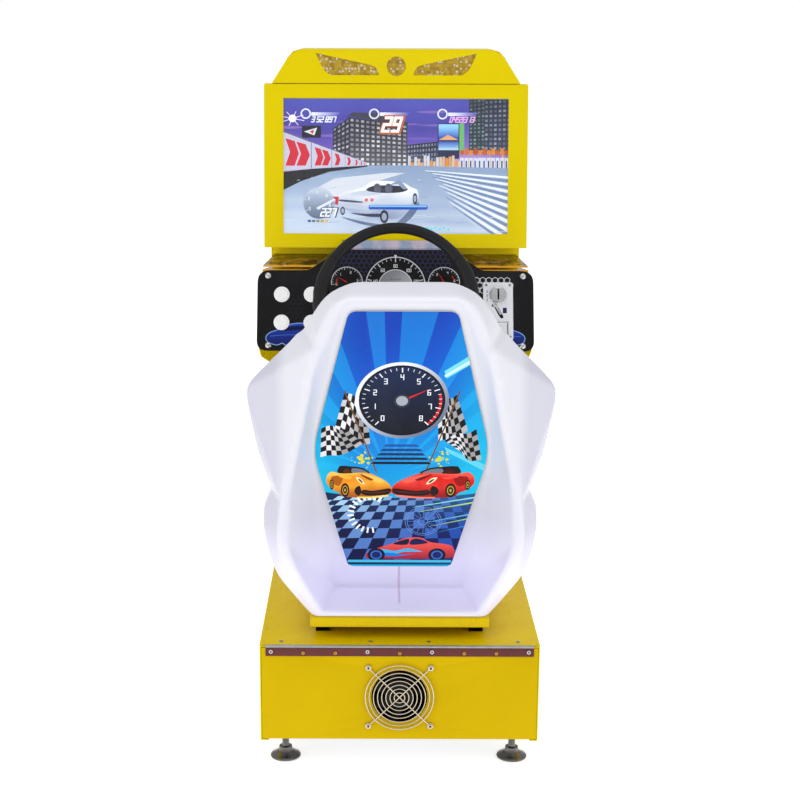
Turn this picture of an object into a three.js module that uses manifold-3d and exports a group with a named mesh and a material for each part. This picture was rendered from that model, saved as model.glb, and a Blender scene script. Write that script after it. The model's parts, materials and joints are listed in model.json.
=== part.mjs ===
// Sit-down driving cabinet for a games arcade, in millimetres, +Z up.
// The seat stands at the -Y end and faces +Y, towards the wheel and the screen.
import * as THREE from 'three';
import { mergeVertices } from 'three/addons/utils/BufferGeometryUtils.js';
import { ConvexGeometry } from 'three/addons/geometries/ConvexGeometry.js';
import Module from 'manifold-3d';

const wasm = await Module();
wasm.setup();

// ---- driving dimensions -------------------------------------------------
const SHEET = 2;             // folded steel sheet
const GAP = 0.3;             // air between pieces that touch
const BASE_HALF = 235;       // half width of the seat base
const BASE_BOTTOM = 46;      // underside of the base above the floor
const DECK_TOP = 219;        // top of the deck the seat slides on
const SPINE_FRONT = 895;     // front face of the upright
const SPINE_REAR = 1055;     // rear face of the upright
const SPINE_HALF = 265;      // half width of the upright
const SPINE_TOP = 1108.7;    // top of the upright, under the marquee
const SCREEN_BOX_REAR = 958; // where the screen box meets the upright
const SCREEN_BOX_HALF = 278;
const SCREEN_BOTTOM = 770;
const SCREEN_TOP = 1109;
const SCREEN_TILT = 7.9;     // degrees, top away from the driver
const DASH_TILT = 22;        // degrees, top away from the driver
const DASH_HALF = 290;
const WHEEL_RADIUS = 154;    // centre line of the grip
const WHEEL_TO_DASH = 110.2;  // along the steering axis
const FAN_HEIGHT = 126;      // fan centre above the floor
const FAN_SIZE = 120;        // square fan frame
const FOOT_X = 195;
const FOOT_NEAR_Y = 40;
const FOOT_FAR_X = 222;
const FOOT_FAR_Y = 1000;
const RAIL_X = 131;          // centre of each seat rail
const SEAT_BACK_LEAN = 0.2493;  // rearward drift of the shell's rear rim per unit of height
const ART_LEAN = 22.6;       // degrees the picture panel leans back
const MID_Y = 470.5;         // middle of the whole length, moved to y = 0

// Points on the tilted dash and screen are given as across, up the slope and out of it.
const DASH_FOOT = [0, 762, 567];
const SCREEN_FOOT = [0, 862, SCREEN_BOTTOM];
const ART_FOOT = [0, 105, 325];
const WHEEL_CENTRE = [0, 690, 683];

// ---- finishes -----------------------------------------------------------
const FINISHES = {
  yellow_paint: [0xdcc80f, 0.32, 0.1],
  galvanised: [0xa9abad, 0.4, 0.8],
  chrome: [0xd8dadc, 0.12, 1.0],
  black_paint: [0x1b1b1d, 0.45, 0.3],
  shell_white: [0xeae8f4, 0.22, 0.0],
  picture: [0x2b7fc4, 0.3, 0.0],
  black_plastic: [0x17171a, 0.5, 0.0],
  grip: [0x121214, 0.6, 0.0],
  dash_print: [0x1c1c22, 0.3, 0.0],
  screen: [0x3b4878, 0.1, 0.0],
  clear_cover: [0xcfd3c4, 0.08, 0.0],
  gold_film: [0xc2a24a, 0.25, 0.6],
  brown_steel: [0x6e3f3c, 0.5, 0.4],
  button_white: [0xeeece6, 0.25, 0.0],
  circuit: [0x2f6b45, 0.6, 0.0],
};

const group = new THREE.Group();

function add(name, shape, finish) {
  const geometry = shape.isBufferGeometry ? shape : toGeometry(shape);
  geometry.translate(0, -MID_Y, 0);
  const [color, roughness, metalness] = FINISHES[finish];
  const material = new THREE.MeshStandardMaterial({ color, roughness, metalness });
  material.name = finish;
  const mesh = new THREE.Mesh(geometry, material);
  mesh.name = name;
  group.add(mesh);
}

// ---- solids -------------------------------------------------------------
function toSolid(geometry) {
  const bare = geometry.clone();
  bare.deleteAttribute('normal');
  bare.deleteAttribute('uv');
  const welded = mergeVertices(bare, 1e-3);
  const mesh = new wasm.Mesh({
    numProp: 3,
    vertProperties: Float32Array.from(welded.attributes.position.array),
    triVerts: Uint32Array.from(welded.index.array),
  });
  mesh.merge();
  return new wasm.Manifold(mesh);
}

function toGeometry(solid) {
  const mesh = solid.getMesh();
  const geometry = new THREE.BufferGeometry();
  geometry.setAttribute('position', new THREE.BufferAttribute(mesh.vertProperties, 3));
  geometry.setIndex(new THREE.BufferAttribute(mesh.triVerts, 1));
  geometry.computeVertexNormals();
  return geometry;
}

const joined = (geometries) => geometries.map(toSolid).reduce((all, one) => all.add(one));
const cut = (geometry, tools) => toSolid(geometry).subtract(joined(tools));
const rad = (degrees) => degrees * Math.PI / 180;

// A closed outline; a point may carry a third number, its corner radius.
function outline(points) {
  const shape = new THREE.Shape();
  const count = points.length;
  points.forEach((point, i) => {
    const here = new THREE.Vector2(point[0], point[1]);
    const before = new THREE.Vector2(...points[(i + count - 1) % count].slice(0, 2));
    const after = new THREE.Vector2(...points[(i + 1) % count].slice(0, 2));
    const radius = point[2] ?? 0;
    const start = here.clone().add(before.sub(here).setLength(radius));
    const end = here.clone().add(after.sub(here).setLength(radius));
    if (i === 0) shape.moveTo(start.x, start.y);
    else shape.lineTo(start.x, start.y);
    if (radius > 0) shape.quadraticCurveTo(here.x, here.y, end.x, end.y);
  });
  shape.closePath();
  return shape;
}

const mirrored = (points) => [
  ...points,
  ...points.map(([x, ...rest]) => [-x, ...rest]).reverse(),
];

function slab(shape, depth, curveSegments = 4) {
  return new THREE.ExtrudeGeometry(shape, { depth, curveSegments, bevelEnabled: false });
}

// Side view (y, z) drawn out along X.
function acrossX(points, x0, x1) {
  const toWorld = new THREE.Matrix4().makeBasis(
    new THREE.Vector3(0, 1, 0), new THREE.Vector3(0, 0, 1), new THREE.Vector3(1, 0, 0));
  return slab(outline(points), x1 - x0).applyMatrix4(toWorld).translate(x0, 0, 0);
}

// Front view (x, z) drawn out along Y.
function alongY(points, y0, y1) {
  return slab(outline(points), y1 - y0).rotateX(rad(90)).translate(0, y1, 0);
}

// Plan view (x, y) drawn out along Z.
function upZ(points, z0, z1) {
  return slab(outline(points), z1 - z0).translate(0, 0, z0);
}

function box(x0, x1, y0, y1, z0, z1) {
  return new THREE.BoxGeometry(x1 - x0, y1 - y0, z1 - z0)
    .translate((x0 + x1) / 2, (y0 + y1) / 2, (z0 + z1) / 2);
}

// A round bar along Z from z0 to z1.
function bar(radius, z0, z1, sides = 20) {
  return new THREE.CylinderGeometry(radius, radius, z1 - z0, sides)
    .rotateX(rad(90)).translate(0, 0, (z0 + z1) / 2);
}

const barX = (radius, x0, x1, y, z, sides = 14) =>
  bar(radius, x0, x1, sides).rotateY(rad(90)).translate(0, y, z);
const barY = (radius, y0, y1, x, z, sides = 20) =>
  bar(radius, -y1, -y0, sides).rotateX(rad(90)).translate(x, 0, z);

// A turned piece about Z; the profile is [radius, height] pairs.
function turned(profile, sides = 20) {
  const points = profile.map(([r, h]) => new THREE.Vector2(r, h));
  return new THREE.LatheGeometry(points, sides).rotateX(rad(90));
}

// Moves a shape drawn as (across, up the slope, out of it) onto a tilted face.
const onFace = (geometry, foot, tilt) => geometry.rotateX(rad(90 - tilt)).translate(...foot);
const onDash = (geometry) => onFace(geometry, DASH_FOOT, DASH_TILT);
const onScreen = (geometry) => onFace(geometry, SCREEN_FOOT, SCREEN_TILT);
const onWheel = (geometry) => onFace(geometry, WHEEL_CENTRE, DASH_TILT);

// The tightest skin round points given for one side and repeated on the other.
function skin(points) {
  return new ConvexGeometry(mirrored(points).map((p) => new THREE.Vector3(...p)));
}

// ---- seat base ----------------------------------------------------------
const WEB = BASE_HALF - SHEET;
const FLANGE = 14;
const SIDE_TOP = DECK_TOP - SHEET - GAP;
for (const [name, side] of [['left', -1], ['right', 1]]) {
  const section = [
    [BASE_HALF, BASE_BOTTOM], [BASE_HALF, SIDE_TOP], [BASE_HALF - FLANGE, SIDE_TOP],
    [BASE_HALF - FLANGE, SIDE_TOP - SHEET], [WEB, SIDE_TOP - SHEET],
    [WEB, BASE_BOTTOM + SHEET], [BASE_HALF - FLANGE, BASE_BOTTOM + SHEET],
    [BASE_HALF - FLANGE, BASE_BOTTOM],
  ].map(([x, z]) => [x * side, z]);
  add(`base_side_${name}`, alongY(section, 0, SPINE_FRONT - GAP), 'yellow_paint');
}

const FLOOR_Z = BASE_BOTTOM + SHEET + GAP;
const stemHole = (x, y) => bar(7.5, FLOOR_Z - 10, FLOOR_Z + 10, 12).translate(x, y, 0);
add('base_floor', cut(
  box(-WEB + GAP, WEB - GAP, 4, SPINE_FRONT - GAP, FLOOR_Z, FLOOR_Z + SHEET),
  [stemHole(-FOOT_X, FOOT_NEAR_Y), stemHole(FOOT_X, FOOT_NEAR_Y)]), 'galvanised');

const CABLE_HOLE_Y = 210;
add('deck_plate', cut(
  box(-BASE_HALF, BASE_HALF, 1, SPINE_FRONT - GAP, DECK_TOP - SHEET, DECK_TOP),
  [bar(14, DECK_TOP - 9, DECK_TOP + 9, 14).translate(0, CABLE_HOLE_Y, 0)]), 'yellow_paint');

// Levelling feet: a flared disc, a threaded stem and its lock nut.
const FOOT_PROFILE = [
  [0, 0], [26, 0], [26, 3], [21, 8], [12, 12], [11, 18], [6, 18], [6, 76], [0, 76],
];
function levellingFoot(x, y) {
  const nut = new THREE.CylinderGeometry(11, 11, 9, 6).rotateX(rad(90)).translate(0, 0, 39);
  return joined([turned(FOOT_PROFILE, 20), nut]).translate(x, y, 0);
}
add('foot_near_left', levellingFoot(-FOOT_X, FOOT_NEAR_Y), 'chrome');
add('foot_near_right', levellingFoot(FOOT_X, FOOT_NEAR_Y), 'chrome');
add('foot_far_left', levellingFoot(-FOOT_FAR_X, FOOT_FAR_Y), 'chrome');
add('foot_far_right', levellingFoot(FOOT_FAR_X, FOOT_FAR_Y), 'chrome');

// ---- rear door of the base, with the fan on it --------------------------
const HINGE_Y = -2.4;
const HINGE_Z = 217.2;
add('hinge_leaf_fixed', box(-220, 220, 1, 17, 214.9, 216.6), 'brown_steel');
add('hinge_leaf_door', joined([
  box(-225, 225, -1.3, 0, 199, 215.5),
  barX(2.5, -225, 225, HINGE_Y, HINGE_Z, 10),
]), 'brown_steel');

const fanCorner = FAN_SIZE / 2 - 7.5;
const corners = [[-1, -1], [1, -1], [1, 1], [-1, 1]];
const fanScrewHoles = corners.map(([i, k]) =>
  barY(2.2, -5, 60, i * fanCorner, FAN_HEIGHT + k * fanCorner, 8));
add('rear_door_panel', cut(
  box(-WEB + 0.6, WEB - 0.6, GAP, GAP + SHEET, 49, 213.5),
  [barY(47.5, -5, 10, 0, FAN_HEIGHT, 32), ...fanScrewHoles]), 'yellow_paint');

const FAN_FRONT = GAP + SHEET + GAP;
const FAN_BACK = FAN_FRONT + 38;
const fanStruts = [0, 1, 2].map((i) =>
  box(-2.5, 2.5, FAN_BACK - 5, FAN_BACK, -58, 0).rotateY(rad(120 * i + 15))
    .translate(0, 0, FAN_HEIGHT));
const fanBody = cut(
  box(-60, 60, FAN_FRONT, FAN_BACK, FAN_HEIGHT - 60, FAN_HEIGHT + 60),
  [barY(57, FAN_FRONT - 5, FAN_BACK + 5, 0, FAN_HEIGHT, 28), ...fanScrewHoles])
  .add(joined([barY(26, FAN_BACK - 10, FAN_BACK, 0, FAN_HEIGHT, 16), ...fanStruts]))
  .subtract(toSolid(barY(3.5, FAN_BACK - 20, FAN_BACK - 4, 0, FAN_HEIGHT, 12)));
add('fan_frame', fanBody, 'black_plastic');

const fanBlades = [0, 1, 2, 3, 4, 5, 6].map((i) =>
  box(-1.2, 1.2, -13, 13, 18, 55).rotateZ(rad(48)).translate(0, 17, 0)
    .rotateY(rad(360 / 7 * i)).translate(0, 0, FAN_HEIGHT));
add('fan_rotor', joined([
  barY(24, 5, FAN_BACK - 11, 0, FAN_HEIGHT, 18),
  barY(2.6, FAN_BACK - 12, FAN_BACK - 6, 0, FAN_HEIGHT, 10),
  ...fanBlades,
]), 'black_plastic');

const ringRadii = [13, 21, 29, 37, 45, 52, 58];
const guardRings = ringRadii.map((radius) =>
  new THREE.TorusGeometry(radius, 1, 5, 28).rotateX(rad(90)).translate(0, -5, FAN_HEIGHT));
const guardWires = [45, 135].map((angle) =>
  barX(1.5, -72, 72, -3.4, 0, 6).rotateY(rad(angle)).translate(0, 0, FAN_HEIGHT));
const guardEyes = corners.map(([i, k]) =>
  barY(4.6, -5, -0.4, i * fanCorner, FAN_HEIGHT + k * fanCorner, 12));
add('fan_guard', joined([...guardRings, ...guardWires, ...guardEyes]), 'chrome');

// ---- seat: slide rails, plate, moulded shell and picture panel ----------
const RAIL_LOWER = mirrored([
  [12, 0], [12, 13], [4, 13], [4, 11], [10, 11], [10, 2],
]);
const RAIL_UPPER = mirrored([[8, 3], [8, 8.5], [2, 8.5], [2, 19], [12, 19], [12, 21.2]]);
for (const [name, side] of [['left', -1], ['right', 1]]) {
  const place = (points) => points.map(([x, z]) => [x + side * RAIL_X, z + DECK_TOP + GAP]);
  add(`rail_lower_${name}`, alongY(place(RAIL_LOWER), 62, 400), 'black_paint');
  add(`rail_upper_${name}`, alongY(place(RAIL_UPPER), 66, 392), 'galvanised');
}

const PLATE_UNDER = DECK_TOP + GAP + 21.2 + GAP;
const PLATE_TOP = 257;
const LEVER_Y = 360;
const LEVER_Z = 227;
const leverTabs = [-1, 1].map((side) =>
  box(side * 114 - 1.5, side * 114 + 1.5, LEVER_Y - 10, LEVER_Y + 10, 221.5, PLATE_UNDER + 1));
const PLATE_HALF = 151;
const plateTray = cut(box(-PLATE_HALF, PLATE_HALF, 25, 400, PLATE_UNDER, PLATE_TOP), [
  box(SHEET - PLATE_HALF, PLATE_HALF - SHEET, 27, 398, PLATE_UNDER + SHEET, PLATE_TOP - SHEET),
  box(-110, 110, 40, 385, PLATE_UNDER - 5, PLATE_UNDER + 5),
  bar(14, PLATE_UNDER - 5, PLATE_TOP + 5, 14).translate(0, CABLE_HOLE_Y, 0),
]);
add('seat_plate', plateTray.add(joined(leverTabs)).subtract(
  toSolid(barX(4.6, -130, 130, LEVER_Y, LEVER_Z, 14))), 'yellow_paint');

const leverArms = [-1, 1].flatMap((side) => [
  barY(4, LEVER_Y, LEVER_Y + 110, side * 106, LEVER_Z, 10),
  barX(4, side * 111 - 6, side * 111 + 6, LEVER_Y, LEVER_Z, 10),
]);
add('seat_lock_lever', joined([
  ...leverArms, barX(4, -110, 110, LEVER_Y + 110, LEVER_Z, 10),
]), 'black_paint');

// Rear rim plane of the shell, and the sloping front of the backrest.
const SHELL_FOOT = PLATE_TOP + GAP;
const rimY = (z) => 28 - (z - 260) * SEAT_BACK_LEAN;
const onRim = (half, z, out = 0) => [half, rimY(z) - out, z];
const head = skin([
  onRim(88, 829), onRim(110, 816), onRim(129, 782), onRim(144, 738), onRim(150, 690),
  [80, -92, 848], [109, -79, 834], [129, -63, 815], [140, -50, 798], [152, -38, 775],
  [166, -20, 750], [175, -8, 706], [60, -55, 838], [104, -28, 810], [142, 8, 750],
  [150, 20, 690],
]);
const wings = skin([
  onRim(144, 738), onRim(157, 653), onRim(173, 587), onRim(183, 534), onRim(196, 478),
  [166, -20, 750], [182, -7, 727], [205, 9, 702], [231, 26, 677], [243, 31, 666],
  [251, 35, 654], [254, 42, 634], [246, 48, 590], [237, 51, 545], [215, 58, 476],
  [206, 64, 450],
  [175, 70, 716], [222, 125, 640], [226, 145, 596], [222, 160, 550], [211, 175, 500],
  [205, 185, 452],
]);
const lower = skin([
  onRim(196, 478), onRim(203, 430), onRim(204, 404), onRim(189, 357), onRim(157, 314),
  onRim(143, SHELL_FOOT), [213, 60, 474], [227.5, 56, 446], [229, 54, 408], [219, 53, 362],
  [205, 50, 325], [162, 40, 273], [147, 36, SHELL_FOOT], [207, 64, 492], [207, 190, 490],
  [222, 300, 436], [216, 400, 424], [198, 455, 408], [160, 476, 384], [155, 478, 352],
  [150, 462, 312], [120, 400, SHELL_FOOT], [214, 320, 335], [188, 320, 285],
  [200, 425, 345],
]);

const backY = (z) => 140 - (z - 345) * 0.43;
const onBack = (half, z) => [half, backY(z), z];
const backHollow = skin([
  onBack(70, 812), onBack(112, 740), onBack(146, 640), onBack(150, 520), onBack(146, 400),
  [146, 190, 385], [350, 700, 400], [350, 700, 1000], [60, 700, 1100], [90, -10, 900],
]);
const panHollow = skin([
  [128, 168, 334], onBack(146, 400), onBack(150, 470), [128, 330, 352], [128, 440, 384],
  [150, 640, 440], [170, 640, 560], [182, 300, 470], [186, 440, 470],
]);

const artY = (z) => ART_FOOT[1] - (z - ART_FOOT[2]) * Math.tan(rad(ART_LEAN));
const onArt = (half, z) => [half, artY(z), z];
const recess = skin([
  onRim(84, 822, 3), onRim(102, 808, 3), onRim(118, 774, 3), onRim(134, 733, 3),
  onRim(148, 653, 3), onRim(163, 587, 3), onRim(173, 534, 3), onRim(188, 468, 3),
  onRim(191, 404, 3), onRim(177, 357, 3), onRim(148, 318, 3), onRim(132, 268, 3),
  onArt(89, 816), onArt(98, 776), onArt(110, 724), onArt(126, 657), onArt(142, 603),
  onArt(146, 545), onArt(145, 505), onArt(134, 457), onArt(120, 406), onArt(104, 331),
  [112, 146, 270],
]);
const shell = joined([head, wings, lower])
  .subtract(joined([backHollow, panHollow]))
  .subtract(toSolid(recess));
add('seat_shell', shell, 'shell_white');

const artPanel = slab(outline(mirrored([
  [88, -2, 10], [144.5, 246, 40], [84, 518, 14],
])), 2.5).translate(0, 0, GAP);
add('art_panel', onFace(artPanel, ART_FOOT, -ART_LEAN), 'picture');

// ---- upright ------------------------------------------------------------
const STEP_Z = SCREEN_BOTTOM - GAP;
const spineSide = [
  [SPINE_FRONT, BASE_BOTTOM], [SPINE_REAR, BASE_BOTTOM], [SPINE_REAR, SPINE_TOP],
  [SCREEN_BOX_REAR + GAP, SPINE_TOP], [SCREEN_BOX_REAR + GAP, STEP_Z], [SPINE_FRONT, STEP_Z],
];
add('upright_side_left', acrossX(spineSide, -SPINE_HALF, -SPINE_HALF + SHEET), 'yellow_paint');
add('upright_side_right', acrossX(spineSide, SPINE_HALF - SHEET, SPINE_HALF), 'yellow_paint');

const INNER = SPINE_HALF - SHEET - GAP;
const SPEAKER_Z = 440;
const spineFloorHole = (x) => bar(7.5, 40, 60, 12).translate(x, FOOT_FAR_Y, 0);
const frontSheet = acrossX([
  [SPINE_FRONT, 48], [SPINE_REAR - SHEET - GAP, 48], [SPINE_REAR - SHEET - GAP, 50],
  [SPINE_FRONT + SHEET, 50], [SPINE_FRONT + SHEET, STEP_Z], [SPINE_FRONT, STEP_Z],
], -INNER, INNER);
add('upright_front', cut(frontSheet, [
  spineFloorHole(-FOOT_FAR_X), spineFloorHole(FOOT_FAR_X),
  barY(48, SPINE_FRONT - 9, SPINE_FRONT + 9, 0, SPEAKER_Z, 24),
  box(-60, 60, SPINE_FRONT - 9, SPINE_FRONT + 9, 90, 150),
  box(-120, 120, SPINE_FRONT - 9, SPINE_FRONT + 9, 600, 700),
]), 'yellow_paint');

const DOOR_HALF = 190;
const DOOR_Z0 = 300;
const DOOR_Z1 = 760;
const VENT_Z = [850, 880, 910, 940];
const INLET_X = 150;
const INLET_Z = 130;
const rearOpenings = [
  box(-DOOR_HALF, DOOR_HALF, SPINE_REAR - 9, SPINE_REAR + 9, DOOR_Z0, DOOR_Z1),
  box(INLET_X - 14, INLET_X + 14, SPINE_REAR - 9, SPINE_REAR + 9, INLET_Z - 30, INLET_Z + 30),
  ...VENT_Z.map((z) => box(-70, 70, SPINE_REAR - 9, SPINE_REAR + 9, z, z + 8)),
];
add('upright_rear', cut(
  box(-INNER, INNER, SPINE_REAR - SHEET, SPINE_REAR, 48, SPINE_TOP), rearOpenings),
'yellow_paint');

add('service_door', joined([
  box(-DOOR_HALF + 1, DOOR_HALF - 1, SPINE_REAR - SHEET, SPINE_REAR, DOOR_Z0 + 1, DOOR_Z1 - 1),
  barX(2.5, 0, DOOR_Z1 - DOOR_Z0 - 2, 0, 0, 10).rotateY(rad(-90))
    .translate(-DOOR_HALF - 0.5, SPINE_REAR + 2.9, DOOR_Z0 + 1),
  box(-DOOR_HALF - 0.5, -DOOR_HALF + 16, SPINE_REAR + GAP, SPINE_REAR + 1.6,
    DOOR_Z0 + 1, DOOR_Z1 - 1),
  box(-DOOR_HALF + 2, -DOOR_HALF + 15, SPINE_REAR - 1, SPINE_REAR + 1,
    DOOR_Z0 + 2, DOOR_Z1 - 2),
  barY(9, SPINE_REAR - 16, SPINE_REAR + 3, 165, 530, 14),
]), 'yellow_paint');

// Mains inlet with its rocker; the plug-in lead is not part of the cabinet.
const inletBody = cut(box(INLET_X - 13.5, INLET_X + 13.5, SPINE_REAR - 28, SPINE_REAR + 1,
  INLET_Z - 29, INLET_Z + 29), [
  box(INLET_X - 12, INLET_X + 12, SPINE_REAR - 20, SPINE_REAR + 9, INLET_Z - 26, INLET_Z - 8),
  box(INLET_X - 7, INLET_X + 7, SPINE_REAR - 14, SPINE_REAR + 9, INLET_Z + 2, INLET_Z + 24),
]).add(toSolid(box(INLET_X - 16, INLET_X + 16, SPINE_REAR + GAP, SPINE_REAR + 2.6,
  INLET_Z - 32, INLET_Z + 32)).subtract(joined([
  box(INLET_X - 12, INLET_X + 12, SPINE_REAR - 9, SPINE_REAR + 9, INLET_Z - 26, INLET_Z - 8),
  box(INLET_X - 7, INLET_X + 7, SPINE_REAR - 9, SPINE_REAR + 9, INLET_Z + 2, INLET_Z + 24),
])));
add('power_inlet', inletBody, 'black_plastic');
const rocker = acrossX([[-8, -8], [2, -9.5], [0.5, 0], [4, 9.5], [-6, 8]], -6.4, 6.4);
add('power_switch', rocker.translate(INLET_X, SPINE_REAR + 1, INLET_Z + 13), 'black_plastic');

// Pieces inside the upright.
const speakerProfile = [
  [0, 30], [46, 0], [58, 0], [58, 3], [50, 3], [36, 24], [36, 50], [0, 50],
];
add('speaker', turned(speakerProfile, 20).rotateX(rad(-90))
  .translate(0, SPINE_FRONT + SHEET + GAP, SPEAKER_Z), 'black_plastic');
add('game_board', joined([
  box(-120, 100, 905, 907, 520, 700), box(-60, -10, 907, 925, 600, 660),
  box(20, 80, 907, 915, 560, 580), box(-110, -90, 907, 920, 540, 680),
]), 'circuit');
add('power_supply', box(-170, -70, 930, 1000, 50.3, 98), 'galvanised');

// ---- screen box ---------------------------------------------------------
const screenY = (z) => SCREEN_FOOT[1] + (z - SCREEN_BOTTOM) * Math.tan(rad(SCREEN_TILT));
const boxOuter = acrossX([
  [screenY(SCREEN_BOTTOM), SCREEN_BOTTOM], [SCREEN_BOX_REAR, SCREEN_BOTTOM],
  [SCREEN_BOX_REAR, SCREEN_TOP], [screenY(SCREEN_TOP), SCREEN_TOP],
], -SCREEN_BOX_HALF, SCREEN_BOX_HALF);
const boxInner = acrossX([
  [screenY(SCREEN_BOTTOM + 2) + 2, SCREEN_BOTTOM + SHEET],
  [SCREEN_BOX_REAR + 9, SCREEN_BOTTOM + SHEET],
  [SCREEN_BOX_REAR + 9, SCREEN_TOP - SHEET], [screenY(SCREEN_TOP - 2) + 2, SCREEN_TOP - SHEET],
], -SCREEN_BOX_HALF + SHEET, SCREEN_BOX_HALF - SHEET);
const screenWindow = onScreen(box(-237, 237, 30, 313, -20, 20));
add('screen_frame', cut(boxOuter, [boxInner, screenWindow]), 'yellow_paint');
add('screen_glass', onScreen(box(-246, 246, 22, 321, -5.6, -2.6)), 'clear_cover');
add('lcd_panel', onScreen(box(-252, 252, 14, 328, -26, -6)), 'screen');

// ---- marquee ------------------------------------------------------------
const MARQUEE_FRONT = 911;
const MARQUEE_Z = SCREEN_TOP + 1.2;
const MARQUEE_TOP = 1181;
const marqueeOutline = (inset) => mirrored([
  [262 - inset, MARQUEE_Z + inset], [228 - inset, 1163], [216 - inset, 1176 - inset],
  [199 - inset, MARQUEE_TOP - inset],
]);
const wingCut = (side) => outline([
  [36, 1127.5], [38, 1134.5, 3], [42.5, 1144, 5], [58, 1149.5, 9], [169, 1172.5],
  [153, 1138.5, 9], [139, 1127.5, 7],
].map(([x, z, r]) => [x * side, z, r]));
const flatY = (shape, y0, y1) => slab(shape, y1 - y0).rotateX(rad(90)).translate(0, y1, 0);
add('marquee_panel', cut(alongY(marqueeOutline(0), MARQUEE_FRONT, MARQUEE_FRONT + SHEET), [
  flatY(wingCut(-1), 900, 920), flatY(wingCut(1), 900, 920), barY(20, 900, 920, 0, 1146, 24),
]), 'yellow_paint');
add('marquee_film', box(-180, 180, 913.3, 915.3, 1116, 1176), 'gold_film');
add('marquee_body', cut(alongY(marqueeOutline(0), 913.3, SPINE_REAR), [
  alongY(marqueeOutline(SHEET), 900, SPINE_REAR - SHEET),
]), 'yellow_paint');

// ---- console and dash ---------------------------------------------------
const CONSOLE_REAR = SPINE_FRONT - GAP;
const consolePlan = (inset) => [
  [-285 + inset, 700], [285 - inset, 700], [285 - inset, 815 - inset],
  [258 - inset, CONSOLE_REAR - inset], [-258 + inset, CONSOLE_REAR - inset],
  [-285 + inset, 815 - inset],
];
const consoleSide = (inset) => [
  [762, 569 + inset], [CONSOLE_REAR, 505 + inset], [CONSOLE_REAR, 724.5], [762, 724.5],
];
const beforeDash = () => onDash(box(-400, 400, -200, 500, -2.6, 300));
const consoleOuter = toSolid(acrossX(consoleSide(0), -300, 300))
  .intersect(toSolid(upZ(consolePlan(0), 400, 900)));
const consoleInner = toSolid(acrossX([
  [700, 565 + SHEET], [CONSOLE_REAR, 507], [CONSOLE_REAR, 900], [700, 900],
], -300, 300)).intersect(toSolid(upZ(consolePlan(SHEET), 400, 900)));
const cableWay = box(-110, 110, 880, 900, 605, 695);
add('console_shell', consoleOuter.subtract(consoleInner)
  .subtract(joined([beforeDash(), cableWay])), 'yellow_paint');

const coverSection = [
  [-292, 725], [-180, 725], [-115, 766], [115, 766], [180, 725], [292, 725],
  [292, 728], [181, 728], [116, 769], [-116, 769], [-181, 728], [-292, 728],
];
// A sloping strip carries the cover up from the top of the dash to the screen.
const coverLip = acrossX([
  [846.5, 767.5], [849.5, 767.5], [861.5, 779.5], [861.5, 786], [860.5, 786], [846.5, 772],
], -112, 112);
// Outside the wheel the cover rises towards the back, to meet the upright.
const coverWing = (x0, x1) => acrossX([
  [790, 722], [CONSOLE_REAR, 749.5], [CONSOLE_REAR, 752.5], [790, 725],
], x0, x1);
add('console_cover', joined([alongY(coverSection, 800, CONSOLE_REAR),
  coverWing(-292, -146), coverWing(146, 292)])
  .intersect(toSolid(upZ(consolePlan(0), 400, 900)))
  .intersect(toSolid(box(-300, 300, 790, 900, 724.8, 800)))
  .subtract(toSolid(beforeDash())).add(toSolid(coverLip)), 'clear_cover');

const BUTTONS = [[-238.5, 120], [-176, 120], [-238.5, 60], [-176, 60]];
const dashOutline = mirrored([
  [DASH_HALF, 0, 16], [DASH_HALF, 172, 22], [182, 173, 6], [117, 217.6, 8],
]);
const discHole = (u, v, radius, sides = 20) => bar(radius, -30, 30, sides).translate(u, v, 0);
const STEER_V = 80.6;
const dashPanel = cut(slab(outline(dashOutline), 2.3).translate(0, 0, -2.3), [
  ...BUTTONS.map(([u, v]) => discHole(u, v, 14.2)),
  discHole(0, STEER_V, 27, 24), box(190, 241, 28, 143, -30, 30),
]);
add('dash_panel', onDash(toGeometry(dashPanel)), 'dash_print');

const housingProfile = [
  [0, -35], [13.8, -35], [13.8, GAP], [16.5, GAP], [16.5, 3], [15, 4.2], [12.8, 4.2],
  [12.8, -25], [0, -25],
];
const capProfile = [[0, -18], [12.4, -18], [12.4, 4], [10.5, 6], [0, 6.6]];
BUTTONS.forEach(([u, v], i) => {
  add(`button_housing_${i + 1}`, onDash(turned(housingProfile, 16).translate(u, v, 0)),
    'button_white');
  add(`button_cap_${i + 1}`, onDash(turned(capProfile, 16).translate(u, v, 0)), 'button_white');
});

// Coin plate with a press-to-return slot knob and a return flap.
const COIN_U = 215;
const COIN_V = 120;
add('coin_plate', onDash(toGeometry(cut(
  slab(outline([[184, 24, 4], [246.5, 24, 4], [246.5, 147, 4], [184, 147, 4]]), 3)
    .translate(0, 0, GAP),
  [discHole(COIN_U, COIN_V, 12.6), box(195, 235, 30, 62, -30, 30)]))), 'chrome');
const coinButton = joined([bar(16, 7.6, 11.5, 24), bar(12, -16, 8, 20)])
  .subtract(toSolid(box(-1.6, 1.6, -11.8, 11.8, 2, 30)));
add('coin_button', onDash(toGeometry(coinButton.translate(COIN_U, COIN_V, 0))), 'chrome');
add('coin_mech', onDash(toGeometry(cut(box(190.5, 240.5, 28.5, 142.5, -80, 0), [
  bar(14, -24, 30, 20).translate(COIN_U, COIN_V, 0),
  box(194, 236, 30, 64, -44, 30),
]))), 'black_plastic');
const FLAP_TOP = 60;
add('coin_flap', onDash(toGeometry(joined([
  box(196, 234, 31.5, FLAP_TOP, GAP, GAP + 1.8), barX(1.8, 196, 234, FLAP_TOP, 1.4, 10),
]))), 'chrome');

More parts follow.
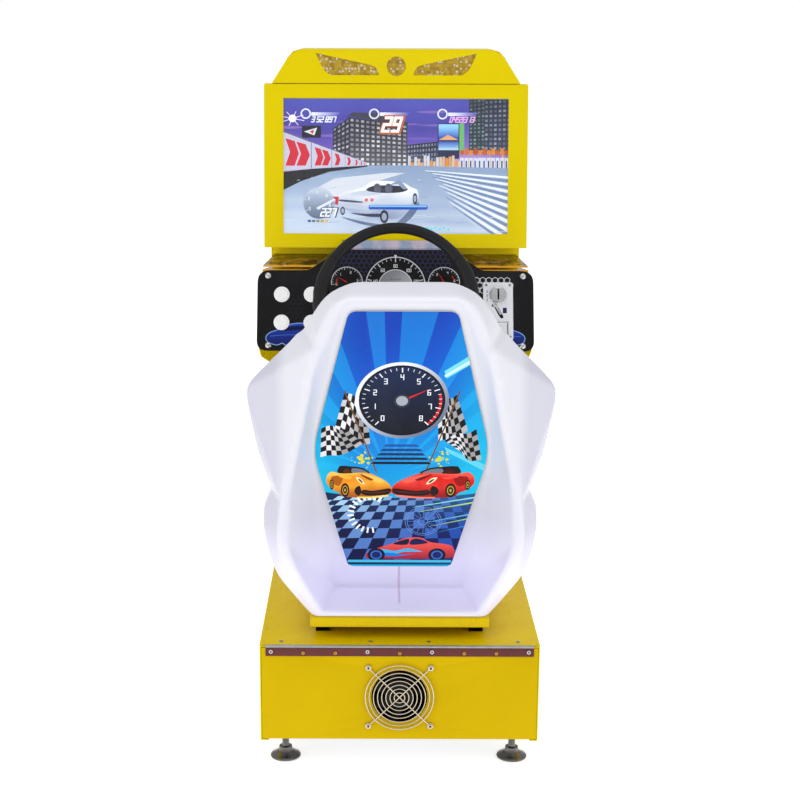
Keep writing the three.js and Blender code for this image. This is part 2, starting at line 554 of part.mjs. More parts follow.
// ---- steering -----------------------------------------------------------
const gripTube = 15.8;
add('wheel_rim', onWheel(new THREE.TorusGeometry(WHEEL_RADIUS, gripTube, 8, 36)), 'grip');
const SPOKE_END = WHEEL_RADIUS - gripTube - GAP;
const spokes = [0, 180, 270].map((angle) =>
  slab(outline([[20, -19], [SPOKE_END, -24], [SPOKE_END, 24], [20, 19]]), 5)
    .translate(0, 0, -2.5).rotateZ(rad(angle)));
const wheelHub = joined([
  ...spokes, bar(40, -2.5, 2.5, 24), bar(26, -38, 0, 20), bar(8, -170, -30, 14),
]).subtract(toSolid(bar(SPOKE_END + 20, -20, 20, 36)).subtract(
  toSolid(bar(SPOKE_END, -30, 30, 36))));
add('wheel_spokes', onWheel(toGeometry(wheelHub)), 'black_paint');
add('wheel_cap', onWheel(turned([[0, 2.8], [34, 2.8], [34, 8], [28, 14], [0, 17]], 24)),
  'black_plastic');

const mountTube = joined([
  bar(26, -WHEEL_TO_DASH - 50, -52, 24),
  box(-55, 55, -45, 45, -WHEEL_TO_DASH - 9, -WHEEL_TO_DASH - 2.7),
]).subtract(toSolid(bar(8.8, -300, 0, 16)));
add('steering_mount', onWheel(toGeometry(mountTube)), 'black_plastic');

// ---- pedals -------------------------------------------------------------
const PEDAL_Y = 760;
const PEDAL_Z = 236;
const PEDAL_X = 72;
const PEDAL_LEAN = 55;
const lug = (x) => box(x - 2, x + 2, PEDAL_Y - 9, PEDAL_Y + 9, DECK_TOP + GAP, PEDAL_Z + 9);
const lugs = [-1, 1].flatMap((side) => [lug(side * PEDAL_X - 42), lug(side * PEDAL_X + 42)]);
add('pedal_bracket', joined([
  box(-130, 130, PEDAL_Y - 15, 890, DECK_TOP + GAP, DECK_TOP + GAP + 3), ...lugs,
  ...[-1, 1].map((side) => box(side * PEDAL_X - 12, side * PEDAL_X + 12, 860, 886,
    DECK_TOP + GAP, 270)),
]).subtract(toSolid(barX(4.6, -130, 130, PEDAL_Y, PEDAL_Z, 14))), 'black_paint');
function pedal(x) {
  const pad = acrossX([[6, -3], [128, -3], [134, -9], [136, -5], [130, 2], [6, 2]], -36, 36)
    .rotateX(rad(PEDAL_LEAN)).translate(x, PEDAL_Y, PEDAL_Z);
  return joined([pad, barX(7, x - 39, x + 39, PEDAL_Y, PEDAL_Z, 12),
    barX(4, x - 46, x + 46, PEDAL_Y, PEDAL_Z, 10)]);
}
add('brake_pedal', pedal(-PEDAL_X), 'black_paint');
add('accelerator_pedal', pedal(PEDAL_X), 'black_paint');

export default group;
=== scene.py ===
"""The sit-down racing cabinet as it looks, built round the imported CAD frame.

Plain numbers are millimetres. Shapes are drawn flat on a face as (across, up, out of it) and
put in place by that face's matrix. Colours are screen colours from 0 to 255.
"""

import json
import math
import random

import bmesh
import bpy
import numpy as np
import openvdb
from mathutils import Matrix, Vector
from mathutils.geometry import delaunay_2d_cdt, tessellate_polygon

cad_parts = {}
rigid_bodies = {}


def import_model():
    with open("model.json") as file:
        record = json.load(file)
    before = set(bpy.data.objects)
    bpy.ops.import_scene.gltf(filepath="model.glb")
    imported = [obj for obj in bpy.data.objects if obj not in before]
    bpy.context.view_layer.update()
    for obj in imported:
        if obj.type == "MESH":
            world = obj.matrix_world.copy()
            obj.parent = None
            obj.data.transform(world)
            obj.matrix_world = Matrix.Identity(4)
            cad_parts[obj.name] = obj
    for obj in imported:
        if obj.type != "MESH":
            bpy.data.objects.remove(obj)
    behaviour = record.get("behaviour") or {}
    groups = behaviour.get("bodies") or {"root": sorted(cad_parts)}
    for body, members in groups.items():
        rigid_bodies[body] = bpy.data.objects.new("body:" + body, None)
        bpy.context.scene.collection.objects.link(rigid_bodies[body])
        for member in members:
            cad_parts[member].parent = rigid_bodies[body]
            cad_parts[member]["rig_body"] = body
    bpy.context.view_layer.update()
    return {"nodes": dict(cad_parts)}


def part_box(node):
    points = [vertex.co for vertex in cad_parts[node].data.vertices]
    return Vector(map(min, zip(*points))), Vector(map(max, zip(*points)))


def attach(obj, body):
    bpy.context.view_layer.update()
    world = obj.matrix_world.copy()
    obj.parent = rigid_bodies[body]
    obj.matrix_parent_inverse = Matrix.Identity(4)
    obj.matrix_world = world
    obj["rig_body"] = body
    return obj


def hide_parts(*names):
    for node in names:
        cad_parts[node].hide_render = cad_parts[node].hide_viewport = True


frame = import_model()
MM = 0.001
TAU = 2 * math.pi
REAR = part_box("base_side_left")[0][1]  # row Y of the seat base's rear face
DECK_Z = 219                 # top of the deck
FAN_Z = 126                  # fan centre above the floor
HINGE_Y, HINGE_Z = -2.4, 217.2  # axis of the rear door
LEVER_Y, LEVER_Z = 360, 227  # axis of the seat lever
PEDAL_Y, PEDAL_Z = 760, 236  # axle of both pedals
UPRIGHT_REAR = 1055          # rear face of the upright
KNOB_U, KNOB_V = 215, 120    # coin knob on the dash
RIM_LEAN = 0.2493            # how far the seat's rear rim runs back per unit of height
PICTURE_LEAN = 22.6          # degrees the seat picture leans back
rng = random.Random(7)


def at(x, y, z):
    """Row position of a point given from the rear of the base, the floor and the middle plane."""
    return Vector((x * MM, REAR + y * MM, z * MM))


def placed(x, y, z, *rotations):
    """Millimetre drawing space at a point, turned by each (degrees, axis) in order."""
    place = Matrix.Translation(at(x, y, z))
    for degrees, axis in rotations:
        place = place @ Matrix.Rotation(math.radians(degrees), 4, axis)
    return place @ Matrix.Scale(MM, 4)


def face(x, y, z, tilt=0.0):
    """A face that looks back at the seat, its top leaning away by tilt degrees."""
    return placed(x, y, z, (90 - tilt, "X"))


UP = placed(0, 0, 0)
DASH = face(0, 762, 567, 22)
WHEEL = face(0, 690, 683, 22)
SCREEN = face(0, 862, 770, 7.9)
ART = face(0, 105, 325, -PICTURE_LEAN)
BEHIND = placed(0, UPRIGHT_REAR, 0, (180, "Z"), (90, "X"))


# ---- outlines -----------------------------------------------------------
def polar(r, a, u=0.0, v=0.0):
    """The point at radius r and angle a from (u, v)."""
    return (u + r * math.cos(a), v + r * math.sin(a))


def turns(n, start=0.0):
    """The angles of n even steps round a circle."""
    return [start + TAU * i / n for i in range(n)]


def circle(r, n, u=0.0, v=0.0, start=0.0):
    return [polar(r, a, u, v) for a in turns(n, start)]


def rounded(points, steps=5):
    """A closed outline with each corner (x, y, radius) rounded by an arc-like curve."""
    out, n = [], len(points)
    for i, p in enumerate(points):
        r = p[2] if len(p) > 2 else 0
        here = Vector(p[:2])
        if r <= 0:
            out.append(tuple(here))
            continue
        a = here + (Vector(points[i - 1][:2]) - here).normalized() * r
        b = here + (Vector(points[(i + 1) % n][:2]) - here).normalized() * r
        for k in range(steps + 1):
            t = k / steps
            out.append(tuple(a * (1 - t) ** 2 + here * 2 * t * (1 - t) + b * t * t))
    return out


def rect(u0, u1, v0, v1, r=0.0):
    """A rectangle whose corners may be rounded."""
    r = min(r, 0.49 * (u1 - u0), 0.49 * (v1 - v0))
    return rounded([(u0, v0, r), (u1, v0, r), (u1, v1, r), (u0, v1, r)])


def flip(points):
    """The same points on the other side of the middle line, in reverse so the turn stays the same."""
    return [(-p[0], *p[1:]) for p in reversed(points)]


def both(points):
    """Points on the right side and their mirror images."""
    return [*points, *flip(points)]


def spline(points, steps):
    """A smooth closed line through points; one with a third value is kept as a corner."""
    out, n = [], len(points)
    for i in range(n):
        p0, p1, p2, p3 = (points[(i + k) % n] for k in (-1, 0, 1, 2))
        q1, q2 = Vector(p1[:2]), Vector(p2[:2])
        m1 = Vector((0, 0)) if len(p1) > 2 else (q2 - Vector(p0[:2])) / 2
        m2 = Vector((0, 0)) if len(p2) > 2 else (Vector(p3[:2]) - q1) / 2
        for k in range(steps):
            t = k / steps
            out.append(tuple(q1 * (2 * t ** 3 - 3 * t * t + 1) + m1 * (t ** 3 - 2 * t * t + t)
                             + q2 * (3 * t * t - 2 * t ** 3) + m2 * (t ** 3 - t * t)))
    return out


def area(loop):
    """Signed area, positive where the loop turns anticlockwise."""
    return sum(a[0] * b[1] - b[0] * a[1] for a, b in zip(loop, loop[1:] + loop[:1])) / 2


def offset(loop, d):
    """Moves a loop that turns anticlockwise inwards by d."""
    out, n = [], len(loop)
    for i in range(n):
        a, b, c = Vector(loop[i - 1]), Vector(loop[i]), Vector(loop[(i + 1) % n])
        e, f = (b - a), (c - b)
        if e.length < 1e-9 or f.length < 1e-9:
            out.append(tuple(b))
            continue
        e.normalize()
        f.normalize()
        m = Vector((-e.y - f.y, e.x + f.x))
        k = max(m.length, 0.35)
        out.append(tuple(b + m.normalized() * (d * 2 / k)))
    return out


# ---- mesh building ------------------------------------------------------
def prism(bm, loops, n0, n1, place, bevel=0.0, steps=2, mat=0):
    """A plate between n0 and n1. The first loop is its outline and the rest are holes."""
    loops = [list(lp) if (area(lp) > 0) == (i == 0) else list(lp)[::-1] for i, lp in enumerate(loops)]
    layers = [(n0, bevel), (n0 + bevel, 0.0)] if bevel else [(n0, 0.0)]
    if bevel:
        for k in range(steps + 1):
            a = math.pi / 2 * k / steps
            layers.append((n1 - bevel + bevel * math.sin(a), bevel * (1 - math.cos(a))))
    else:
        layers.append((n1, 0.0))
    rings = []
    for n, inset in layers:
        row = []
        for lp in loops:
            row.append([bm.verts.new(place @ Vector((u, v, n))) for u, v in offset(lp, inset)])
        rings.append(row)
    for low, high in zip(rings, rings[1:]):
        for a, b in zip(low, high):
            for i in range(len(a)):
                j = (i + 1) % len(a)
                bm.faces.new((a[i], a[j], b[j], b[i])).material_index = mat
    for row, inset, turn in ((rings[0], layers[0][1], True), (rings[-1], layers[-1][1], False)):
        flat = [v for lp in row for v in lp]
        drawn = [[(u, v, 0) for u, v in offset(lp, inset)] for lp in loops]
        if len(loops) == 1:
            bm.faces.new(flat[::-1] if turn else flat).material_index = mat
            continue
        for tri in tessellate_polygon(drawn):
            a, b, c = (flat[i] for i in tri)
            way = (b.co - a.co).cross(c.co - a.co).dot(place.to_3x3() @ Vector((0, 0, 1)))
            if abs(way) < 1e-14:
                continue
            tri = (a, b, c) if (way > 0) != turn else (a, c, b)
            try:
                bm.faces.new(tri).material_index = mat
            except ValueError:
                pass


def turned(bm, profile, place, u=0.0, v=0.0, n=24, mat=0):
    """A piece turned round the axis that stands out of the face at (u, v); profile is (radius, height)."""
    rings = []
    for r, h in profile:
        if r < 1e-6:
            rings.append([bm.verts.new(place @ Vector((u, v, h)))])
        else:
            rings.append([bm.verts.new(place @ Vector((x, y, h))) for x, y in circle(r, n, u, v)])
    for a, b in zip(rings, rings[1:]):
        for i in range(n):
            j = (i + 1) % n
            quad = [a[i % len(a)], a[j % len(a)], b[j % len(b)], b[i % len(b)]]
            corners = [q for k, q in enumerate(quad) if q not in quad[:k]]
            if len(corners) > 2:
                bm.faces.new(corners).material_index = mat


def tube(bm, points, radius, place, n=8, closed=False, mat=0):
    """A bar swept along points; radius may be one number or one for each point."""
    pts = [Vector(p) for p in points]
    count = len(pts)
    radii = radius if isinstance(radius, (list, tuple)) else [radius] * count
    rings, up = [], None
    for i, p in enumerate(pts):
        a = pts[i - 1] if closed or i else p
        b = pts[(i + 1) % count] if closed or i < count - 1 else p
        t = (b - a).normalized()
        if up is None:
            up = t.orthogonal().normalized()
        up = (up - t * up.dot(t)).normalized()
        side = t.cross(up)
        ring = []
        for x, y in circle(1.0, n):
            ring.append(bm.verts.new(place @ (p + (up * x + side * y) * radii[i])))
        rings.append(ring)
    pairs = list(zip(rings, rings[1:])) + ([(rings[-1], rings[0])] if closed else [])
    for a, b in pairs:
        m = len(a)
        shift = 0
        if closed and b is rings[0]:
            shift = min(range(m), key=lambda s: (a[0].co - b[s].co).length)
        for i in range(m):
            j = (i + 1) % m
            bm.faces.new((a[i], a[j], b[(j + shift) % m], b[(i + shift) % m])).material_index = mat
    if not closed:
        bm.faces.new(rings[0][::-1]).material_index = mat
        bm.faces.new(rings[-1]).material_index = mat


def screw(bm, u, v, place, r, h, base, turn, mat, dark):
    """A cross-recess screw with a round head of radius r and height h, its cross at angle turn. The floor of
    the cross is a dark disc, painted shade.
    """
    arm, tip = r * 0.14, r * 0.58
    plus = [(arm, arm), (tip, arm), (tip, -arm), (arm, -arm), (arm, -tip), (-arm, -tip),
            (-arm, -arm), (-tip, -arm), (-tip, arm), (-arm, arm), (-arm, tip), (arm, tip)]
    c, s = math.cos(turn), math.sin(turn)
    plus = [(u + x * c - y * s, v + x * s + y * c) for x, y in plus]
    prism(bm, [circle(r, 18, u, v), plus], base, base + h, place, bevel=h * 0.55, steps=3, mat=mat)
    # Painted shade: a dark disc at the floor of the cross.
    prism(bm, [circle(tip * 1.1, 10, u, v)], base, base + h * 0.3, place, mat=dark)


def piece(name, node, bm, materials, crease=38.0):
    """Turns a bmesh into a piece that stands for a CAD node: it has that node's body, and the node is hidden.
    """
    mesh = bpy.data.meshes.new(name)
    bmesh.ops.remove_doubles(bm, verts=bm.verts, dist=1e-6)
    bm.to_mesh(mesh)
    bm.free()
    mesh.polygons.foreach_set("use_smooth", [crease > 0] * len(mesh.polygons))
    if 0 < crease < 180:
        mesh.set_sharp_from_angle(angle=math.radians(crease))
    for m in materials:
        mesh.materials.append(m)
    ob = bpy.data.objects.new(name, mesh)
    bpy.context.scene.collection.objects.link(ob)
    cad = frame["nodes"][node]
    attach(ob, cad["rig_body"])
    cad.data.materials[0].name.split(".")[0]
    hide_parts(node)


SHARP_EDGE = math.radians(25)


def worked(name, node, materials, bevel=0.8, extra=None):
    """A CAD node's own shape with its edges softened, standing for that node."""
    bm = bmesh.new()
    bm.from_mesh(frame["nodes"][node].data)
    bmesh.ops.remove_doubles(bm, verts=bm.verts, dist=2e-6)
    edges = [e for e in bm.edges if len(e.link_faces) == 2 and e.calc_face_angle(0) > SHARP_EDGE]
    bmesh.ops.bevel(bm, geom=edges, offset=bevel * MM, segments=2, profile=0.5,
                    affect="EDGES", clamp_overlap=True)
    if extra:
        extra(bm)
    piece(name, node, bm, materials)


# ---- materials ----------------------------------------------------------
def linear(colour):
    """Linear RGB of a screen colour."""
    parts = [c / 255 for c in colour]
    return tuple(c / 12.92 if c <= 0.04045 else ((c + 0.055) / 1.055) ** 2.4 for c in parts)


class Look:
    """A Principled material put together from small steps, on the piece's own coordinates."""

    def __init__(self, name, colour, rough=0.4, metal=0.0, coat=0.0, spec=0.5, coat_rough=0.08):
        self.mat = bpy.data.materials.new(name)
        self.mat.use_nodes = True
        self.nodes = self.mat.node_tree.nodes
        self.links = self.mat.node_tree.links
        self.shader = self.nodes["Principled BSDF"]
        self.base = (*linear(colour), 1.0)
        self.put(Base_Color=self.base, Roughness=rough, Metallic=metal, Coat_Weight=coat,
                 Coat_Roughness=coat_rough, Specular_IOR_Level=spec)
        self.rough = rough
        self.where = self.nodes.new("ShaderNodeTexCoord").outputs["Object"]
        self.colour = None
        self.height = None

    def put(self, **values):
        """Sets inputs of the shader, with a low line for each space in their names."""
        for name, value in values.items():
            self.shader.inputs[name.replace("_", " ")].default_value = value

    def math(self, kind, a, b=0.5):
        node = self.nodes.new("ShaderNodeMath")
        node.operation = kind
        for socket, value in zip(node.inputs, (a, b)):
            if isinstance(value, (int, float)):
                socket.default_value = value
            else:
                self.links.new(value, socket)
        return node.outputs[0]

    def times(self, a, b):
        return self.math("MULTIPLY", a, b)

    def split(self, vector):
        """The x, y and z of a vector."""
        node = self.nodes.new("ShaderNodeSeparateXYZ")
        self.links.new(vector, node.inputs[0])
        return node.outputs

    def stretched(self, scale):
        node = self.nodes.new("ShaderNodeVectorMath")
        node.operation = "MULTIPLY"
        node.inputs[1].default_value = scale
        self.links.new(self.where, node.inputs[0])
        return node.outputs[0]

    def noise(self, scale, detail=3.0, rough=0.55, stretch=None, distortion=0.0):
        node = self.nodes.new("ShaderNodeTexNoise")
        node.inputs["Scale"].default_value = scale
        node.inputs["Detail"].default_value = detail
        node.inputs["Roughness"].default_value = rough
        node.inputs["Distortion"].default_value = distortion
        self.links.new(self.stretched(stretch) if stretch else self.where, node.inputs["Vector"])
        return node.outputs["Fac"]

    def cells(self, scale, feature="F1", stretch=None):
        node = self.nodes.new("ShaderNodeTexVoronoi")
        node.feature = feature
        node.inputs["Scale"].default_value = scale
        self.links.new(self.stretched(stretch) if stretch else self.where, node.inputs["Vector"])
        return node.outputs["Distance"]

    def between(self, value, low, high, out_low=0.0, out_high=1.0):
        node = self.nodes.new("ShaderNodeMapRange")
        for i, x in enumerate((low, high, out_low, out_high)):
            node.inputs[i + 1].default_value = x
        self.links.new(value, node.inputs[0])
        return node.outputs[0]

    def tint(self, amount, colour):
        """Lays another colour over the base where amount is high."""
        node = self.nodes.new("ShaderNodeMix")
        node.data_type = "RGBA"
        node.clamp_factor = True
        a, b = node.inputs[6], node.inputs[7]
        if self.colour is None:
            a.default_value = self.base
        else:
            self.links.new(self.colour, a)
        if isinstance(colour, tuple):
            b.default_value = (*linear(colour), 1.0)
        else:
            self.links.new(colour, b)
        self.links.new(amount, node.inputs[0])
        self.colour = node.outputs[2]
        return self

    def mottled(self, scale, amount, dark):
        """Darkens soft patches."""
        return self.tint(self.between(self.noise(scale, 4.0), 0.3, 0.75, 0.0, amount), dark)

    def uneven(self, scale, spread, stretch=None):
        """Roughness that wanders about its mean."""
        field = self.noise(scale, 4.0, stretch=stretch)
        low, high = max(self.rough - spread, 0.02), min(self.rough + spread, 1.0)
        self.links.new(self.between(field, 0.3, 0.7, low, high), self.shader.inputs["Roughness"])
        return self

    def bumpy(self, field, depth, strength=1.0):
        """Raises the surface by field times depth millimetres."""
        node = self.nodes.new("ShaderNodeBump")
        node.inputs["Strength"].default_value = strength
        node.inputs["Distance"].default_value = depth * MM
        self.links.new(field, node.inputs["Height"])
        if self.height is not None:
            self.links.new(self.height, node.inputs["Normal"])
        self.height = node.outputs["Normal"]
        return self

    def glow(self, colour, strength, field=None):
        """Light of its own, everywhere or in proportion to a field."""
        put = self.shader.inputs
        if isinstance(colour, tuple):
            put["Emission Color"].default_value = (*linear(colour), 1.0)
        else:
            self.links.new(colour, put["Emission Color"])
        if field is None:
            put["Emission Strength"].default_value = strength
        else:
            self.links.new(self.times(field, strength), put["Emission Strength"])
        return self

    def done(self):
        if self.colour is not None:
            self.links.new(self.colour, self.shader.inputs["Base Color"])
        if self.height is not None:
            self.links.new(self.height, self.shader.inputs["Normal"])
        return self.mat


def enamel(name, colour, rough=0.24, dirt=0.10, scratches=0.0):
    """Baked enamel on sheet steel: orange peel, faint streaks, and scuffs where it is stepped on."""
    look = Look(name, colour, rough, spec=0.1)
    look.mottled(7.0, dirt, tuple(int(c * 0.8) for c in colour))
    look.bumpy(look.noise(900.0, 2.0), 0.035)
    look.bumpy(look.noise(9.0, 2.0), 0.5, 0.35)
    if scratches:
        lines = look.cells(60.0, "DISTANCE_TO_EDGE", (1.0, 0.13, 1.0))
        thin = look.between(lines, 0.0, 0.012, 1.0, 0.0)
        patch = look.between(look.noise(14.0, 3.0), 0.52, 0.68)
        look.tint(look.times(look.times(thin, patch), scratches), (150, 122, 20))
        chips = look.between(look.noise(150.0, 2.0, 0.4), 0.735, 0.76)
        look.tint(look.times(chips, 0.8), (70, 58, 30))
        rub = look.between(look.noise(26.0, 5.0, stretch=(1.0, 0.35, 1.0)), 0.5, 0.8, 0.0, 0.22)
        look.tint(rub, (206, 180, 40))
    look.uneven(35.0, 0.07)
    return look.done()


def moulded(name, colour, rough=0.5, grain=700.0, depth=0.08, soil=0.35, lit=0.0):
    """Moulded plastic with a fine grain, soiled in patches; lit is a glow of its own colour."""
    look = Look(name, colour, rough, spec=0.3)
    look.mottled(20.0, soil, (8, 8, 9)).glow(colour, lit)
    look.bumpy(look.cells(grain), depth)
    look.uneven(60.0, 0.08)
    return look.done()


def plated(name, colour=(214, 215, 218), rough=0.16, spread=0.08, stretch=None, metal=1.0):
    """Plated metal with cloudy reflections; stretch draws them out along the grain."""
    look = Look(name, colour, rough, metal)
    look.mottled(40.0, 0.35, tuple(int(c * 0.72) for c in colour))
    look.uneven(120.0, spread, stretch)
    look.bumpy(look.noise(260.0, 3.0, stretch=stretch), 0.02)
    return look.done()


YELLOW = enamel("YellowEnamel", (237, 214, 0))
YELLOW_DECK = enamel("YellowEnamelWorn", (235, 203, 0), 0.26, 0.12, 0.7)
CHROME = plated("Chrome")
STEEL = plated("ZincSteel", (176, 178, 180), 0.34, 0.1, (1.0, 9.0, 1.0))
BRUSHED = plated("BrushedPlate", (205, 206, 208), 0.28, 0.1, (12.0, 1.0, 1.0))
BRASS = plated("BrassPassivated", (250, 190, 70), 0.3, 0.1, None, 0.4)
WIRE = plated("GuardWire", (224, 212, 188), 0.16)
FOOT_STEEL = plated("FootSteel", (124, 119, 116), 0.2)
BRONZE = plated("BronzedSteel", (104, 52, 50), 0.42, 0.12, (1.0, 1.0, 14.0), 0.6)
BLACK_METAL = enamel("BlackEnamel", (24, 24, 26), 0.38, 0.0)
PLASTIC = moulded("BlackPlastic", (24, 24, 27))
# Near-black: the own colour of black parts such as chips and small marks, and painted shade on the floors of
# holes, slots and recesses.
BLACK_AND_HOLE_SHADE = moulded("BlackAndHoleShade", (7, 7, 8), 0.8)
GRIP = moulded("WheelGrip", (23, 23, 26), 0.46, 420.0, 0.14)
# Painted light: a faint glow of its own colour brightens this white plastic.
WHITE_PLASTIC = moulded("WhitePlastic", (222, 219, 210), 0.3, 500.0, 0.02, 0.06)


def brushed_door():
    """Enamel with the fine level scratches left by wiping and boots."""
    look = Look("YellowEnamelScuffed", (222, 188, 0), 0.3, spec=0.05)
    look.mottled(8.0, 0.16, (176, 140, 0))
    streak = look.between(look.noise(60.0, 6.0, 0.7, stretch=(0.05, 1.0, 6.0)), 0.58, 0.72, 0.0, 0.12)
    look.tint(streak, (196, 160, 10))
    look.bumpy(look.noise(60.0, 5.0, stretch=(0.05, 1.0, 8.0)), 0.02)
    look.bumpy(look.noise(900.0, 2.0), 0.02)
    look.uneven(40.0, 0.08, (0.1, 1.0, 4.0))
    return look.done()


def circuit():
    """Green solder mask over copper tracks."""
    look = Look("CircuitBoard", (20, 88, 48), 0.35)
    tracks = look.between(look.cells(160.0, "DISTANCE_TO_EDGE"), 0.0, 0.05, 1.0, 0.0)
    look.tint(look.times(tracks, 0.6), (60, 140, 70))
    look.tint(look.between(look.cells(260.0), 0.12, 0.16, 0.8, 0.0), (190, 180, 120))
    look.bumpy(tracks, 0.05)
    return look.done()


YELLOW_DOOR = brushed_door()
CIRCUIT = circuit()


def shell_plastic():
    """Milky glossy moulding with faint violet light inside, handled and slightly scuffed, with painted shade:
    darker violet low down and on the flanks that face sideways.
    """
    look = Look("ShellMoulding", (231, 232, 240), 0.24, coat=0.08, coat_rough=0.1, spec=0.3)
    x, y, z = look.split(look.where)
    # Painted shade: the lower part of the shell is tinted a darker violet.
    low = look.between(z, 0.3, 0.62, 1.0, 0.0)
    look.tint(look.times(low, 0.28), (224, 219, 246))
    across = look.math("ABSOLUTE", x)
    seam = look.times(look.between(across, 0.0008, 0.0028, 1.0, 0.0), look.between(y, -0.41, -0.4))
    look.tint(look.times(seam, 0.6), (168, 132, 148))
    look.mottled(16.0, 0.05, (190, 186, 214))
    scuff = look.between(look.noise(70.0, 6.0, 0.75, stretch=(1.0, 1.0, 0.25)), 0.62, 0.74, 0.0, 0.05)
    look.tint(scuff, (168, 164, 186))
    # Painted shade: the outer flanks that face sideways are tinted darker, by the direction of their surface.
    facing = look.split(look.nodes.new("ShaderNodeTexCoord").outputs["Normal"])
    painted_side_shade = look.between(look.math("ABSOLUTE", facing[0]), 0.55, 0.97, 0.0, 0.8)
    look.tint(look.times(painted_side_shade, look.between(across, 0.185, 0.205)), (184, 182, 206))
    look.bumpy(look.noise(14.0, 2.0), 0.5, 0.2)
    look.uneven(8.0, 0.03)
    foot = look.between(z, 0.43, 0.34)
    look.glow((222, 214, 255), 0.2, look.math("ADD", foot, 0.06))
    look.put(Subsurface_Weight=0.25, Subsurface_Radius=(0.02, 0.018, 0.022), Subsurface_Scale=1.0)
    return look.done()


SHELL = shell_plastic()
BUTTON = moulded("ButtonWhite", (236, 236, 236), 0.22, 300.0, 0.008, 0.04, 0.2)
# Painted light: the coin plate's white plastic glows faintly with its own colour.
BRIGHT = moulded("BrightPlate", (232, 233, 240), 0.26, 300.0, 0.006, 0.05, 0.06)
WINDOW = moulded("DarkWindow", (34, 38, 110), 0.12, 300.0, 0.004)


def gold_film():
    """Gold diffraction film of small square facets, each painted a darker or lighter colour as if it caught
    the light a different way, with painted glints and patches of painted sheen.
    """
    look = Look("GoldFacetFilm", (196, 160, 44), 0.34, 0.6, coat=0.2, coat_rough=0.05)
    cell = look.nodes.new("ShaderNodeTexVoronoi")
    cell.distance = "CHEBYCHEV"
    cell.inputs["Scale"].default_value = 150.0
    cell.inputs["Randomness"].default_value = 0.35
    look.links.new(look.where, cell.inputs["Vector"])
    split = look.nodes.new("ShaderNodeSeparateColor")
    look.links.new(cell.outputs["Color"], split.inputs[0])
    # Painted shade: some facets, chosen at random, get a darker brown.
    look.tint(look.between(split.outputs[0], 0.2, 0.9, 0.0, 0.5), (104, 82, 26))
    # Painted highlight: a pale glint in the middle of some facets.
    painted_glint = look.times(look.between(split.outputs[1], 0.7, 0.8, 0.0, 0.6),
                       look.between(cell.outputs["Distance"], 0.4, 0.2))
    look.tint(painted_glint, (250, 246, 226))
    # Painted sheen: pale patches in a fine noise.
    look.tint(look.between(look.noise(160.0, 2.0), 0.62, 0.7, 0.0, 0.6), (236, 226, 176))
    look.bumpy(cell.outputs["Distance"], 0.25)
    return look.done()


def screen_glass():
    """Clear acrylic with a breath of dust."""
    look = Look("ScreenGlassLook", (250, 252, 252), 0.02)
    look.put(Transmission_Weight=1.0, IOR=1.46)
    look.tint(look.between(look.noise(50.0, 5.0, 0.7), 0.6, 0.8, 0.0, 0.12), (206, 208, 210))
    look.bumpy(look.noise(30.0, 2.0), 0.005)
    look.uneven(40.0, 0.03)
    return look.done()


FILM = gold_film()
GLASS = screen_glass()


def cover_film():
    """Glossy amber cover over a patterned lining that shows through in brown patches and yellow low down,
    with painted pale highlight streaks and a painted reflection of the screen along its raised middle.
    """
    look = Look("AmberCover", (176, 130, 40), 0.1, coat=0.2, coat_rough=0.03)
    x, _, z = look.split(look.where)
    wavy = look.math("ADD", z, look.times(look.noise(30.0, 4.0), 0.006))
    look.tint(look.between(look.noise(34.0, 5.0, 0.7, stretch=(0.6, 1.0, 1.0)), 0.34, 0.54), (60, 46, 26))
    # Painted highlight: pale streaks across the cover.
    painted_highlight_streaks = look.noise(48.0, 3.0, 0.6, stretch=(0.4, 1.0, 2.0), distortion=1.0)
    look.tint(look.between(painted_highlight_streaks, 0.58, 0.66, 0.0, 0.8), (196, 186, 150))
    look.tint(look.between(wavy, 0.741, 0.7385), (226, 164, 10))
    # Painted reflection of the screen: pale blue along the raised middle of the cover, rippled with pink.
    middle = look.times(look.between(look.math("ABSOLUTE", x), 0.106, 0.1),
                        look.between(wavy, 0.764, 0.768, 0.0, 0.75))
    painted_reflection_ripple = look.between(look.noise(20.0, 2.0, stretch=(2.0, 1.0, 0.3)), 0.4, 0.6)
    look.tint(middle, (150, 176, 214)).tint(look.times(middle, painted_reflection_ripple), (214, 190, 206))
    look.bumpy(look.noise(26.0, 2.0), 0.6)
    return look.done()


COVER = cover_film()


# ---- printed pictures ---------------------------------------------------
def mix(a, b, t):
    t = min(max(t, 0.0), 1.0)
    return tuple(x + (y - x) * t for x, y in zip(a, b))


def ramp(stops, t):
    """Colour at t on a list of (place, colour) stops."""
    for (t0, a), (t1, b) in zip(stops, stops[1:]):
        if t <= t1:
            return mix(a, b, (t - t0) / (t1 - t0))
    return stops[-1][1]


